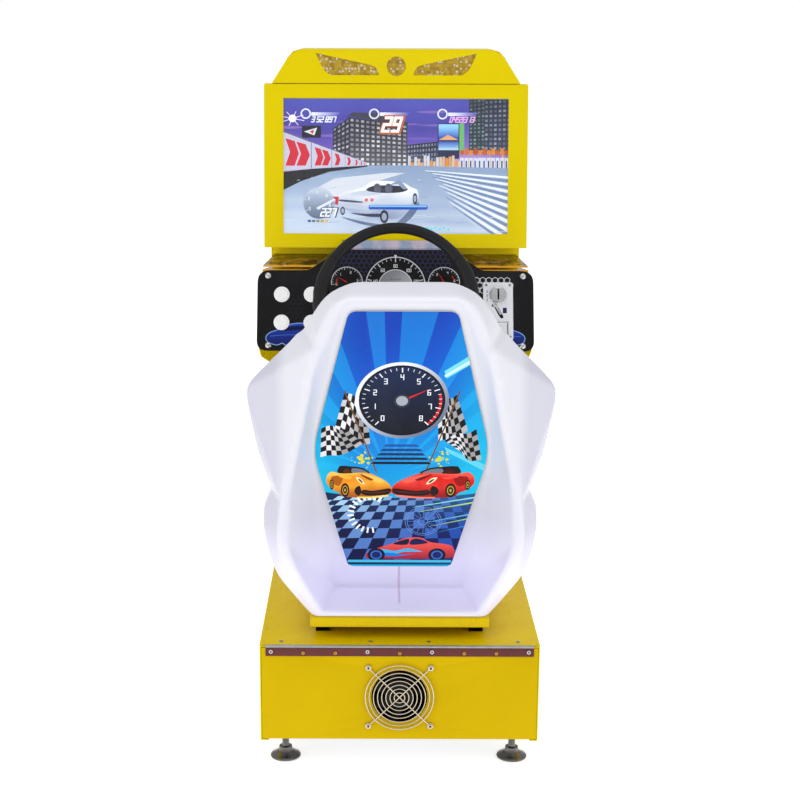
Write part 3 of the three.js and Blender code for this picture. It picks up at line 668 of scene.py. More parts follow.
class Sheet:
    """A flat print: coloured shapes laid over one another and cut into one layer of triangles."""

    def __init__(self, outline, paint, spacing):
        self.shapes = [(list(outline), paint)]
        us, vs = [p[0] for p in outline], [p[1] for p in outline]
        self.loose = [(u, v) for u in np.arange(min(us) + spacing / 2, max(us), spacing)
                      for v in np.arange(min(vs) + spacing / 2, max(vs), spacing)]

    def add(self, loop, paint):
        loop = list(loop)
        self.shapes.append((loop if area(loop) > 0 else loop[::-1], paint))
        return self

    def ring(self, u, v, r, width, paint, from_=0, to=360, steps=40):
        """A band round (u, v) whose outer radius is r, between two angles in degrees."""
        a0, a1 = math.radians(from_), math.radians(to)
        angles = [a0 + (a1 - a0) * i / steps for i in range(steps + 1)]
        for a, b in zip(angles, angles[1:]):
            self.add([polar(r, a, u, v), polar(r, b, u, v), polar(r - width, b, u, v),
                      polar(r - width, a, u, v)], paint)
        return self

    def line(self, points, width, paint):
        for (u0, v0), (u1, v1) in zip(points, points[1:]):
            d = Vector((u1 - u0, v1 - v0)).normalized() * width / 2
            self.add([(u0 - d.y, v0 + d.x), (u1 - d.y, v1 + d.x), (u1 + d.y, v1 - d.x),
                      (u0 + d.y, v0 - d.x)], paint)
        return self

    def number(self, text, u, v, h, paint, lean=0.0, weight=0.16):
        """Digits in straight strokes, left-aligned at u and standing on v."""
        strokes = {"a": (0, 2, 1, 2), "b": (1, 1, 1, 2), "c": (1, 0, 1, 1), "d": (0, 0, 1, 0),
                   "e": (0, 0, 0, 1), "f": (0, 1, 0, 2), "g": (0, 1, 1, 1)}
        lit = {"0": "abcdef", "1": "bc", "2": "abged", "3": "abgcd", "4": "fgbc", "5": "afgcd",
               "6": "afgcde", "7": "abc", "8": "abcdefg", "9": "abcdfg", "-": "g"}
        w, t = h * 0.46, h * weight
        for char in text:
            for key in lit.get(char, ""):
                x0, y0, x1, y1 = strokes[key]
                ends = [(u + x0 * w + y0 * h / 2 * lean, v + y0 * h / 2),
                        (u + x1 * w + y1 * h / 2 * lean, v + y1 * h / 2)]
                d = (Vector(ends[1]) - Vector(ends[0])).normalized() * t * 0.42
                ends = [(ends[0][0] - d.x, ends[0][1] - d.y), (ends[1][0] + d.x, ends[1][1] + d.y)]
                self.line(ends, t, paint)
            u += h * (0.3 if char in " ." else 0.72)
        return self

    def dial(self, u, v, r, labels, from_, to, height, paint, ticks, needle=None):
        """Ticks round an arc, with numbers inside them and a needle. Angles are in degrees."""
        a0, a1 = math.radians(from_), math.radians(to)
        for i in range(ticks + 1):
            a = a0 + (a1 - a0) * i / ticks
            inner, weight = (0.92, 0.015) if i % 4 else (0.86, 0.03)
            self.line([polar(r * inner, a, u, v), polar(r, a, u, v)], r * weight, paint)
        for i, text in enumerate(labels):
            a = a0 + (a1 - a0) * i / (len(labels) - 1)
            wide = height * 0.72 * len(text) - height * 0.26
            x, y = polar(r * 0.72, a, u, v)
            self.number(text, x - wide / 2, y - height / 2, height, paint)
        if needle is not None:
            c, s = math.cos(math.radians(needle)), math.sin(math.radians(needle))
            self.add([(u - s * r * 0.035, v + c * r * 0.035), (u + r * 0.84 * c, v + r * 0.84 * s),
                      (u + s * r * 0.035, v - c * r * 0.035)], (226, 40, 30))
        return self

    def patch(self, corners, across, down, paints, wave):
        """A chequered cloth between four corners, rippled across its width."""
        (ax, ay), (bx, by), (cx, cy), (dx, dy) = corners

        def point(i, j):
            s, t = i / across, j / down
            lift = wave * math.sin(s * TAU * 0.9 + t * 1.3)
            x = (ax * (1 - s) + bx * s) * (1 - t) + (dx * (1 - s) + cx * s) * t
            y = (ay * (1 - s) + by * s) * (1 - t) + (dy * (1 - s) + cy * s) * t
            return x + lift * 0.35, y + lift

        for i in range(across):
            for j in range(down):
                cell = [point(i, j), point(i + 1, j), point(i + 1, j + 1), point(i, j + 1)]
                shade = 0.5 + 0.5 * math.sin(i / across * TAU * 0.9 + j / down * 1.3)
                light, dark = paints
                paint = light if (i + j) % 2 else dark
                self.add(cell, mix(tuple(c * 0.55 for c in paint), paint, 0.3 + 0.7 * shade))
        return self

    def lay(self, bm, place, n, mat):
        """Cuts the shapes into triangles and colours each by the last shape over it."""
        layer = bm.loops.layers.float_color.get("print") or bm.loops.layers.float_color.new("print")
        coords, faces = [], []
        for loop, _ in self.shapes:
            faces.append(list(range(len(coords), len(coords) + len(loop))))
            coords += [Vector(p) for p in loop]
        coords += [Vector(p) for p in self.loose]
        found = delaunay_2d_cdt(coords, [], faces, 1, 1e-4)
        verts = [bm.verts.new(place @ Vector((p[0], p[1], n))) for p in found[0]]
        for tri, owners in zip(found[2], found[5]):
            paint = self.shapes[max(owners)][1] if 0 in owners else None
            if paint is None:  # past the outline, or in a hole
                continue
            try:
                f = bm.faces.new([verts[i] for i in tri])
            except ValueError:
                continue
            f.material_index = mat
            for loop, i in zip(f.loops, tri):
                rgb = paint(*found[0][i]) if callable(paint) else paint
                loop[layer] = (*linear(max(0, c) for c in rgb), 1.0)
        bmesh.ops.delete(bm, geom=[v for v in verts if not v.link_faces], context="VERTS")


def printed(name, rough, glow, spec, deepen):
    """Ink under clear film: the picture's own colours with a fine dot grain and faint handling marks."""
    look = Look(name, (128, 128, 128), rough, coat_rough=0.05, spec=spec)
    ink = look.nodes.new("ShaderNodeVertexColor")
    ink.layer_name = "print"
    deep = look.nodes.new("ShaderNodeGamma")
    deep.inputs["Gamma"].default_value = deepen
    look.links.new(ink.outputs["Color"], deep.inputs["Color"])
    look.colour = plain = deep.outputs[0]
    dots = look.between(look.cells(1400.0), 0.2, 0.6, 0.0, 0.015)
    look.tint(dots, (255, 255, 255))
    look.tint(look.between(look.noise(12.0, 5.0), 0.5, 0.9, 0.0, 0.02), (210, 214, 220))
    look.bumpy(look.noise(240.0, 2.0), 0.01)
    look.uneven(30.0, 0.06)
    if glow:
        look.glow(plain, glow)
    return look.done()


PICTURE = printed("BacklitPicture", 0.24, 0.12, 0.06, 1.12)
OVERLAY = printed("DashOverlay", 0.3, 0.0, 0.08, 1.15)
DISPLAY = printed("LitDisplay", 0.3, 0.7, 0.08, 1.15)


def hexes(sheet, u0, u1, v0, v1, r, width, paint, keep=lambda u, v: True):
    """Honeycomb outlines over a rectangle."""
    row = 0
    v = v0
    while v <= v1:
        u = u0 + (row % 2) * r * math.sqrt(3) / 2
        while u <= u1:
            if keep(u, v):
                sheet.ring(u, v, r * 0.96, width, paint, 30, 390, 6)
            u += r * math.sqrt(3)
        v += r * 1.5
        row += 1


def sports_car(sheet, put, body, dark, light):
    """An open two-seater seen from the front corner, nose at x = 0 and tail at x = 138."""
    def part(points, paint, smooth=3):
        sheet.add([put(*p) for p in (spline(points, smooth) if smooth else points)], paint)

    def wheel(x, y, rx, ry):
        tyre, gold, gap, nave = (16, 14, 16), (196, 160, 60), (40, 34, 30), (200, 170, 80)
        for k, paint in ((1.0, tyre), (0.68, gold), (0.5, gap), (0.22, nave)):
            part([(x + rx * k * c, y + ry * k * s) for c, s in circle(1, 16)], paint, 0)

    def paintwork(u, v):
        x, y = (u - put(0, 0)[0]) / (put(1, 0)[0] - put(0, 0)[0]), v - put(0, 0)[1]
        sheen = 0.5 + 0.5 * math.sin(y * 0.19 + x * 0.03 - 0.6)
        return mix(mix(dark, body, y / 34), light, 0.75 * sheen * max(0, y - 16) / 40)

    part([(45, 50), (62, 64), (86, 67), (110, 68), (115, 54, 1), (90, 48)], (38, 22, 22), 2)
    part([(50, 52), (64, 61), (84, 63), (82, 52)], (120, 130, 140), 2)
    part([(88, 50), (90, 60), (97, 62), (102, 58), (103, 50)], mix(dark, (10, 8, 8), 0.4), 2)
    part([(1, 19), (4, 27), (16, 38), (35, 48), (49, 53), (70, 54), (97, 52), (113, 53), (127, 56),
          (136, 48), (138, 34), (132, 24), (126, 18), (113, 12), (107, 5), (97, 2.4), (66, 1), (43, 1),
          (20, 4), (5, 9), (1, 13)], paintwork)
    part([(18, 37), (37, 47), (58, 51), (66, 49), (50, 41), (28, 33)], mix(body, light, 0.75))
    part([(40, 40), (62, 50), (66, 49), (48, 38)], dark)
    part([(104, 46), (122, 47), (128, 42), (122, 30), (112, 26), (106, 34)], mix(dark, body, 0.35))
    part([(58, 31), (66, 42), (76, 45), (73, 38), (64, 31)], (250, 236, 190))
    part([(61, 33), (67, 40), (72, 41), (66, 34)], (90, 70, 50))
    part([(2, 18), (8, 21), (26, 18), (44, 16), (60, 18), (66, 12), (56, 6), (30, 6), (8, 9)], (30, 12, 12))
    part([(4, 16), (20, 16), (44, 13), (60, 15), (62, 13), (44, 10), (18, 11)], (80, 34, 26))
    part([(68, 26), (77, 22), (79, 12), (71, 5), (65, 12)], (36, 14, 12))
    part([(10, 4), (44, 0), (70, 0), (72, 3), (44, 3.4), (12, 7)], light)
    wheel(99, 17, 9, 15)
    wheel(127, 29, 4.6, 11)
    part([(84, 44), (104, 48), (112, 46), (104, 43), (92, 40)], mix(body, light, 0.5))


# ---- sheet metal --------------------------------------------------------
SHEETS = [
    ("SideLeft", "base_side_left", YELLOW, 0.7), ("SideRight", "base_side_right", YELLOW, 0.7),
    ("UprightFront", "upright_front", YELLOW, 0.6), ("UprightLeft", "upright_side_left", YELLOW, 0.5),
    ("UprightRight", "upright_side_right", YELLOW, 0.5), ("ScreenBox", "screen_frame", YELLOW, 0.5),
    ("MarqueeBody", "marquee_body", YELLOW, 0.5), ("Console", "console_shell", YELLOW, 0.5),
    ("BaseFloor", "base_floor", STEEL, 0.5), ("HingeLeafFixed", "hinge_leaf_fixed", BRONZE, 0.4),
    ("RailLowerLeft", "rail_lower_left", BLACK_METAL, 0.7),
    ("RailLowerRight", "rail_lower_right", BLACK_METAL, 0.7),
    ("RailUpperLeft", "rail_upper_left", BLACK_METAL, 0.7),
    ("RailUpperRight", "rail_upper_right", BLACK_METAL, 0.7),
    ("SeatPlate", "seat_plate", YELLOW_DECK, 1.0), ("FanFrame", "fan_frame", PLASTIC, 0.9),
    ("SteeringMount", "steering_mount", PLASTIC, 1.0), ("Inlet", "power_inlet", PLASTIC, 0.6),
    ("CoinMech", "coin_mech", PLASTIC, 0.8), ("Speaker", "speaker", PLASTIC, 0.8),
    ("PowerSupply", "power_supply", STEEL, 1.0),
]
for title, node, look, bevel in SHEETS:
    worked(title, node, [look], bevel)


def deck_screws(bm):
    for x in (-199, -49, 49, 199):
        for y in (14, 875):
            screw(bm, x, y, UP, 3.4, 1.4, DECK_Z, rng.uniform(0, 1.5), 1, 2)


worked("Deck", "deck_plate", [YELLOW_DECK, STEEL, BLACK_AND_HOLE_SHADE], 1.1, extra=deck_screws)


def rear_face(bm):
    """Rivets round the service door and a louvre hood over each vent slot."""
    for z in (850, 880, 910, 940):
        hood = [(-72, 0), (72, 0), (70, 5), (-70, 5)]
        prism(bm, [hood], 0, 2.2, BEHIND @ Matrix.Translation((0, z + 9, 0)), 0.8)
    for x in (-252, 252):
        for z in (80, 280, 480, 680, 880, 1060):
            turned(bm, [(4.2, 0), (4, 0.9), (2.6, 1.6), (0, 1.9)], BEHIND, x, z, 14, 1)


def lock(bm):
    """Key cylinder: a chromed collar, a brass plug and its keyway, a thin dark sheet on the plug that is
    painted shade.
    """
    turned(bm, [(11, 0), (11, 2), (9.6, 3), (7.6, 3), (7.2, 2.2), (0, 2.2)], BEHIND, -165, 530, 28, 1)
    turned(bm, [(6.8, 2), (6.8, 3), (6.2, 3.4), (0, 3.4)], BEHIND, -165, 530, 24, 2)
    # Painted shade: the keyway is a thin dark sheet laid on the plug.
    prism(bm, [rect(-166, -164, 526, 534)], 3.4, 3.45, BEHIND, mat=3)
    for z in (320, 430, 530, 630, 740):
        for side in (-6, 6):
            turned(bm, [(2.6, 0), (2.4, 1.6), (1.2, 2.4), (0, 2.5)], BEHIND, 181.5, z + side, 12, 1)


worked("UprightRear", "upright_rear", [YELLOW, STEEL], 0.5, extra=rear_face)
worked("ServiceDoor", "service_door", [YELLOW, CHROME, BRASS, BLACK_AND_HOLE_SHADE], 0.6, extra=lock)


def rocker_marks(bm):
    """The usual on and off marks, a bar and a ring."""
    spot = Matrix.Translation((-150, 0, 0))
    prism(bm, [rect(-0.5, 0.5, 147, 150)], 3.2, 3.6, BEHIND @ spot, mat=1)
    prism(bm, [circle(1.8, 16, 0, 136.5), circle(1.1, 16, 0, 136.5)], 0.8, 2.2, BEHIND @ spot, mat=1)


worked("PowerSwitch", "power_switch", [PLASTIC, WHITE_PLASTIC], 0.8, extra=rocker_marks)

# ---- circuit board ------------------------------------------------------
bm = bmesh.new()
BOARD = face(0, 905, 0)
prism(bm, [rect(-120, 100, 520, 700, 4)], -2, 0, BOARD, 0.2)
BOARD_BACK = placed(0, 907, 0, (180, "Z"), (90, "X"))
for i in range(12):
    prism(bm, [rect(12 + 4 * i, 14 + 4 * i, 602, 658)], 3, 18, BOARD_BACK, 0.3, mat=1)
prism(bm, [rect(10, 60, 600, 660, 1)], 0, 3, BOARD_BACK, 0.4, mat=1)
for u in (-80, -56, -32):
    prism(bm, [rect(u, u + 18, 561, 579, 1)], 0, 3, BOARD_BACK, 0.4, mat=2)
for v in range(540, 676, 34):
    prism(bm, [rect(91, 109, v, v + 28, 1)], 0, 13, BOARD_BACK, 0.5, mat=3)
for u, v in ((-70, 620), (-70, 645), (-45, 632), (75, 560), (70, 660)):
    turned(bm, [(5, 0), (5, 11), (4.5, 12), (0, 12)], BOARD_BACK, u, v, 16, 1)
piece("GameBoard", "game_board", bm, [CIRCUIT, STEEL, BLACK_AND_HOLE_SHADE, WHITE_PLASTIC])

# ---- levelling feet -----------------------------------------------------
FOOT = [(0, 0), (25.6, 0), (26, 0.5), (26, 2.4), (25.2, 3.4), (21.5, 5.2), (16, 8.4), (12.6, 11.4),
        (11.6, 14.5), (11, 18), (8.6, 18.4), (5.4, 18.4)]
THREAD = [(6 if i % 2 else 5.2, 18.4 + 0.9 * i) for i in range(64)]
NUT = [(7, 34.5), (9.9, 34.5), (11, 35.5), (11, 42.5), (9.9, 43.5), (7, 43.5)]
for name, x, y in (("near_left", -195, 40), ("near_right", 195, 40),
                   ("far_left", -222, 1000), ("far_right", 222, 1000)):
    bm = bmesh.new()
    turned(bm, FOOT, UP, x, y, 40)
    turned(bm, [*THREAD, (5, 76), (0, 76)], UP, x, y, 20, 1)
    turned(bm, NUT, UP, x, y, 6, 1)
    piece("Foot_" + name, "foot_" + name, bm, [FOOT_STEEL, STEEL], 30)

# ---- rear door: hinge, panel, fan ---------------------------------------
bm = bmesh.new()
LEAF = face(0, 0, 0)
PIN = placed(0, HINGE_Y, HINGE_Z, (90, "Y"))
prism(bm, [rect(-225, 225, 199, 215.2, 1.2)], 0, 1.2, LEAF, 0.3)
for i in range(18):
    x = -225 + 25 * i
    knuckle = [(0, x), (2.2, x), (2.5, x + 0.3), (2.5, x + 24.7), (2.2, x + 25), (0, x + 25)]
    turned(bm, knuckle, PIN, n=14, mat=1)
for x in (-216, -54, 54, 216):
    screw(bm, x, 207.3, LEAF, 3.2, 2.2, 1.2, rng.uniform(0, 1.5), 2, 3)
for x in (-162, -108, 0, 108, 162):
    screw(bm, x, 204.6, LEAF, 2.7, 1.5, 1.2, rng.uniform(0, 1.5), 4, 3)
piece("HingeLeafDoor", "hinge_leaf_door", bm, [BRONZE, STEEL, CHROME, BLACK_AND_HOLE_SHADE, BRASS], 30)

worked("RearDoor", "rear_door_panel", [YELLOW_DOOR], 0.5)

bm = bmesh.new()
GUARD = face(0, 0, FAN_Z)
for i, r in enumerate((9, 16, 23, 30, 37, 44, 51, 57.6)):
    wire = 1.15 if r > 55 else 0.9
    tube(bm, [(x, y, 4.4 if i < 6 else 3.6) for x, y in circle(r, 72)], wire, GUARD, 8, True)
for turn in (1, -1):
    c = math.sqrt(0.5)
    pts = [(d * c, d * c * turn, 1.6 + h * 0.6) for d, h in
           [(-71, 0), (-60, 0.4), (-52, 2.4), (52, 2.4), (60, 0.4), (71, 0)]]
    tube(bm, pts, 1.2, GUARD, 8)
for i in (-1, 1):
    for k in (-1, 1):
        u, v = i * 52.5, k * 52.5
        tube(bm, [(u + x, v + y, 1.6) for x, y in circle(4.4, 20)], 1.2, GUARD, 8, True)
        screw(bm, u, v, GUARD, 3.9, 2.4, 1.9, 0.8, 0, 1)
piece("FanGuard", "fan_guard", bm, [WIRE, BLACK_AND_HOLE_SHADE], 60)

bm = bmesh.new()
AXLE = placed(0, 0, FAN_Z, (-90, "X"))
ROTOR_HUB = [(0, 5.2), (20, 5.2), (23, 6.2), (24, 8.6), (24, 29.6), (2.6, 29.6), (2.6, 34), (0, 34)]
turned(bm, ROTOR_HUB, AXLE, n=36)
turned(bm, [(0, 4.9), (14, 4.9), (14.4, 5.3)], AXLE, 0, 0, 32, 1)
for i in range(7):
    grid = []
    for k in range(9):
        r = 23.4 + k * 31.4 / 8
        pitch = math.radians(52 - 20 * k / 8)
        row = []
        for j in range(9):
            s = (j / 8 - 0.5) * 27
            sweep = (s * math.sin(pitch)) / r + 0.16 * (k / 8) ** 2 + TAU * i / 7
            depth = 17 + s * math.cos(pitch) - 1.6 * math.cos(math.pi * (j / 8 - 0.5))
            row.append([(*polar(r, sweep), depth + d) for d in (-0.7, 0.7)])
        grid.append(row)
    sheet = [[[bm.verts.new(AXLE @ Vector(p)) for p in cell] for cell in row] for row in grid]
    for k in range(8):
        for j in range(8):
            a, b, c, d = sheet[k][j], sheet[k + 1][j], sheet[k + 1][j + 1], sheet[k][j + 1]
            bm.faces.new((a[0], b[0], c[0], d[0]))
            bm.faces.new((d[1], c[1], b[1], a[1]))
    border = [(0, j) for j in range(9)] + [(k, 8) for k in range(1, 9)]
    border += [(8, j) for j in range(7, -1, -1)] + [(k, 0) for k in range(7, 0, -1)]
    for (k, j), (m, n) in zip(border, border[1:] + border[:1]):
        bm.faces.new((sheet[k][j][1], sheet[k][j][0], sheet[m][n][0], sheet[m][n][1]))
bmesh.ops.recalc_face_normals(bm, faces=bm.faces)
piece("FanRotor", "fan_rotor", bm, [PLASTIC, BLACK_METAL], 40)

# ---- seat lock lever ----------------------------------------------------
bm = bmesh.new()
bend = [(-106, LEVER_Y, LEVER_Z), (-106, 440, LEVER_Z), (-106, 456, LEVER_Z)]
bend += [(-106 + 14 * (1 - math.cos(a)), 456 + 14 * math.sin(a), LEVER_Z)
         for a in (0.4, 0.8, 1.2, math.pi / 2)]
path = bend + [(-x, y, z) for x, y, z in reversed(bend)]
tube(bm, path, 3.9, UP, 14)
for side in (-1, 1):
    tube(bm, [(side * 105, LEVER_Y, LEVER_Z), (side * 117, LEVER_Y, LEVER_Z)], 3.9, UP, 14)
    turned(bm, [(5.6, 0), (5.8, 0.6), (5.8, 1.6), (5.2, 2.2), (0, 2.2)],
           placed(side * 116.2, LEVER_Y, LEVER_Z, (side * 90, "Y")), 0, 0, 16, 1)
tube(bm, [(x, 470, LEVER_Z) for x in (-60, -58, 58, 60)], [4.0, 5.2, 5.2, 4.0], UP, 16, mat=2)
piece("SeatLever", "seat_lock_lever", bm, [BLACK_METAL, STEEL, GRIP], 40)

# ---- pedals -------------------------------------------------------------
worked("PedalBracket", "pedal_bracket", [BLACK_METAL], 0.6)
for name, x in (("Brake", -72), ("Accelerator", 72)):
    pad = placed(x, PEDAL_Y, PEDAL_Z, (55, "X"))
    bm = bmesh.new()
    prism(bm, [rect(-36, 36, 6, 128, 5)], -3, 0.4, pad, 0.8, mat=0)
    for i in range(9):
        prism(bm, [rect(-31, 31, 15 + 12 * i, 21 + 12 * i, 2)], 0.2, 2, pad, 0.7, mat=1)
    prism(bm, [rect(-36, 36, 127, 135.6, 1.5)], -8, 0.4, pad, 1.2)
    across = placed(x, PEDAL_Y, PEDAL_Z, (90, "Y"))
    turned(bm, [(4, -46), (4, -39), (6.4, -39), (7, -38.4), (7, 38.4), (6.4, 39), (4, 39), (4, 46), (0, 46)],
           across, 0, 0, 22, 0)
    piece(name + "Pedal", name.lower() + "_pedal", bm, [BLACK_METAL, GRIP], 35)


# ---- seat shell ---------------------------------------------------------
SEAT_FOOT = 257.4  # underside of the shell, just over the plate


def rim(half, z, out=0.0):
    """A point on the rear rim, or out behind it."""
    return (half, 28 - (z - 260) * RIM_LEAN - out, z)


def backrest(half, z):
    """A point on the sloping front of the backrest."""
    return (half, 140 - (z - 345) * 0.43, z)


def picture_plane(half, z):
    """A point on the recessed face that carries the picture."""
    return (half, 105 - (z - 325) * math.tan(math.radians(PICTURE_LEAN)), z)


# Points on the convex parts that the shell is blended from, right half only: head, shoulders, hips and pan.
HEAD = [rim(88, 829), rim(110, 816), rim(129, 782), rim(144, 738), rim(150, 690),
        (80, -92, 848), (109, -79, 834), (129, -63, 815), (140, -50, 798), (152, -38, 775),
        (166, -20, 750), (175, -8, 706), (60, -55, 838), (104, -28, 810), (142, 8, 750), (150, 20, 690)]
WINGS = [rim(144, 738), rim(157, 653), rim(173, 587), rim(183, 534), rim(196, 478),
         (167, -21, 752), (183, -8, 729), (207, 8, 704), (233, 25, 679), (245, 30, 668),
         (253, 34, 655), (255.5, 42, 634), (248, 47, 590), (239, 50, 545), (217, 57, 476), (206, 64, 450),
         (175, 70, 716), (222, 125, 640), (226, 145, 596), (222, 160, 550), (211, 175, 500), (205, 185, 452)]
LOWER = [rim(196, 478), rim(203, 430), rim(204, 404), rim(189, 357), rim(157, 314), rim(131, 240),
         (214, 59, 475), (229, 55, 447), (231, 53, 408), (221, 52, 361), (207, 49, 324),
         (163, 40, 271), (134, 40, 240), (207, 64, 492), (207, 190, 490), (222, 300, 436), (216, 400, 424),
         (198, 455, 408), (160, 476, 384), (155, 478, 352), (150, 462, 312), (112, 396, 240),
         (214, 320, 335), (188, 320, 285), (200, 425, 345)]
# Points round the spaces cut out of it: behind the sitter, above the pan, and the recess of the picture.
BACK_HOLLOW = [backrest(70, 812), backrest(112, 740), backrest(146, 640), backrest(150, 520),
               backrest(146, 400), (146, 190, 385), (350, 700, 400), (350, 700, 1000),
               (60, 700, 1100), (90, -10, 900)]
PAN_HOLLOW = [(128, 168, 334), backrest(146, 400), backrest(150, 470), (128, 330, 352),
              (128, 440, 384), (150, 640, 440), (170, 640, 560), (182, 300, 470), (186, 440, 470)]
RECESS = [rim(84, 822, 3), rim(102, 808, 3), rim(118, 774, 3), rim(134, 733, 3), rim(148, 653, 3),
          rim(163, 587, 3), rim(173, 534, 3), rim(188, 468, 3), rim(191, 404, 3), rim(177, 357, 3),
          rim(148, 318, 3), rim(132, 268, 3), picture_plane(89, 816), picture_plane(98, 776),
          picture_plane(110, 724), picture_plane(126, 657), picture_plane(142, 603),
          picture_plane(146, 545), picture_plane(145, 505), picture_plane(134, 457),
          picture_plane(120, 406), picture_plane(104, 331), (112, 146, 270)]


def planes(points):
    """Outward planes of the tightest skin round points and their mirror images."""
    bm = bmesh.new()
    hull = [bm.verts.new(p) for x, y, z in points for p in ((x, y, z), (-x, y, z))]
    bmesh.ops.convex_hull(bm, input=hull)
    middle = sum((v.co for v in hull), Vector()) / len(hull)
    found = {}
    for f in bm.faces:
        n = f.normal
        if f.calc_area() < 1e-3:
            continue
        d = n.dot(f.calc_center_median())
        if n.dot(middle) > d:
            n, d = -n, -d
        found[tuple(round(c, 2) for c in n)] = (*n, d)
    bm.free()
    return list(found.values())


def soft_hull(points, grid, round_by):
    """Distance outside a convex skin, with its edges rounded by about round_by."""
    x, y, z = grid
    sides = planes(points)
    far = None
    for a, b, c, d in sides:
        p = (a * x + b * y) + (c * z - d)
        far = p if far is None else np.maximum(far, p)
    total = np.zeros_like(far)
    for a, b, c, d in sides:
        total += np.exp(((a * x + b * y) + (c * z - d) - far) / round_by)
    return far + round_by * np.log(total)


def blend_in(a, b, k):
    """The union of two distances with a fillet of about k between them."""
    h = np.clip(0.5 + 0.5 * (b - a) / k, 0, 1)
    return b * (1 - h) + a * h - k * h * (1 - h)


STEP = 3.5  # grid spacing
xs = np.arange(0, 264, STEP, dtype=np.float32)
ys = np.arange(-124, 492, STEP, dtype=np.float32)
zs = np.arange(252, 860, STEP, dtype=np.float32)
grid = np.meshgrid(xs, ys, zs, indexing="ij", sparse=True)
solid = blend_in(blend_in(soft_hull(HEAD, grid, 1.6), soft_hull(WINGS, grid, 0.9), 14),
                 soft_hull(LOWER, grid, 1.0), 4)
hollow = blend_in(soft_hull(BACK_HOLLOW, grid, 7.0), soft_hull(PAN_HOLLOW, grid, 5.0), 30)
solid = -blend_in(-solid, hollow, 14)
solid = -blend_in(-solid, soft_hull(RECESS, grid, 1.6), 8)
solid = np.maximum(solid, SEAT_FOOT - grid[2])
whole = np.concatenate([solid[:0:-1], solid]).astype(np.float32)
volume = openvdb.FloatGrid()
volume.copyFromArray(np.ascontiguousarray(whole))
points, quads = volume.convertToQuads(isovalue=0.0)
points = points * STEP + np.array([-xs[-1], ys[0], zs[0]], np.float32)
bm = bmesh.new()
skin = [bm.verts.new(at(*map(float, p))) for p in points]
for q in quads:
    try:
        bm.faces.new([skin[i] for i in q])
    except ValueError:
        pass
bmesh.ops.recalc_face_normals(bm, faces=bm.faces)
for _ in range(2):
    bmesh.ops.smooth_vert(bm, verts=bm.verts, factor=0.4, use_axis_x=True, use_axis_y=True, use_axis_z=True)
piece("SeatShell", "seat_shell", bm, [SHELL], 180)


# ---- picture on the back of the seat ------------------------------------
EDGE = rounded(both([(88, -2, 10), (144.5, 246, 40), (84, 518, 14)]), 8)
SKY = [(0.0, (20, 176, 224)), (0.2, (12, 156, 222)), (0.45, (10, 126, 214)), (0.7, (10, 98, 204)),
       (1.0, (12, 72, 182))]
FLOOR = [(0.0, (70, 176, 220)), (0.08, (40, 90, 180)), (0.3, (24, 40, 130)), (0.7, (30, 96, 190)),
         (1.0, (70, 170, 226))]


def sky(u, s):
    base = ramp(SKY, (s - 150) / 350 - u * 0.0011)
    # Painted light: lighter cyan towards both sides, the glow of the backlight painted into the print.
    painted_backlight_glow = min(1.0, max(0.0, abs(u) - 62) / 70)
    return mix(base, (24, 204, 232), painted_backlight_glow * 0.9 * (1 - (s - 150) / 520))


def ray(u, s):
    return mix(sky(u, s), (40, 190, 244), 0.42)


picture = Sheet(EDGE, sky, 18)
for i in range(13):
    a = math.radians(4 + 14.6 * i)
    b = a + math.radians(5.2 + 2.4 * (i % 3))
    picture.add([polar(r, t, -20, 190) for r, t in ((30, a), (430, a), (430, b))], ray)
picture.add([(66, 400), (148, 462), (150, 444), (70, 386)], (130, 222, 246))
picture.add([(66, 392), (140, 446), (142, 440), (68, 388)], (214, 246, 252))
picture.add([(70, 250), (144, 210), (144, 196), (74, 240)], (110, 214, 240))
for side in (-1, 1):
    for i in range(26):
        a, d = rng.uniform(0, TAU), rng.uniform(2, 22)
        u, s = side * (64 + d * math.cos(a) * 0.9), 222 + d * math.sin(a)
        r = rng.uniform(0.8, 4.2) * (1.2 - d / 26)
        picture.add(circle(r, 7, u, s, a), mix((240, 214, 30), (190, 220, 40), rng.random()))
CLOTH = ((236, 236, 238), (26, 24, 28))
for corners in ([(-92, 356), (-54, 330), (-52, 252), (-112, 274)],
                [(-130, 286), (-88, 290), (-64, 252), (-134, 222)],
                [(56, 336), (88, 358), (106, 280), (58, 256)],
                [(70, 262), (122, 290), (130, 220), (88, 240)]):
    picture.patch(corners, 7, 6, CLOTH, 6)
for side in (-1, 1):
    picture.line([(side * 92, 362), (side * 40, 196)], 2.4, (120, 84, 40))

# A dial in place of the figures: black face, pale ring, numbers and a red needle.
DIAL = 342  # height of its centre on the panel
picture.add(circle(75, 56, 0, DIAL),
            lambda u, s: mix((236, 240, 246), (96, 108, 130), (u + 75 - (s - DIAL)) / 200))
picture.add(circle(69, 56, 0, DIAL), (14, 18, 32))
picture.add(circle(66, 56, 0, DIAL), lambda u, s: mix((16, 20, 34), (40, 60, 110), (s - 276) / 190))
picture.ring(0, DIAL, 64, 4, (220, 40, 34), -48, 12, 12)
picture.dial(0, DIAL, 64, list("012345678"), 228, -48, 9.5, (240, 244, 250), 32, 28)
picture.add(circle(13, 24, 0, DIAL), (60, 64, 76)).add(circle(9.5, 24, 0, DIAL), (170, 176, 188))
for k in range(5):
    s = 214 + 9 * k
    wide = 50 - 5 * k
    picture.add([(-wide, s), (wide, s), (wide - 5, s + 5), (5 - wide, s + 5)],
                mix((16, 20, 40), (30, 110, 210), k / 5))

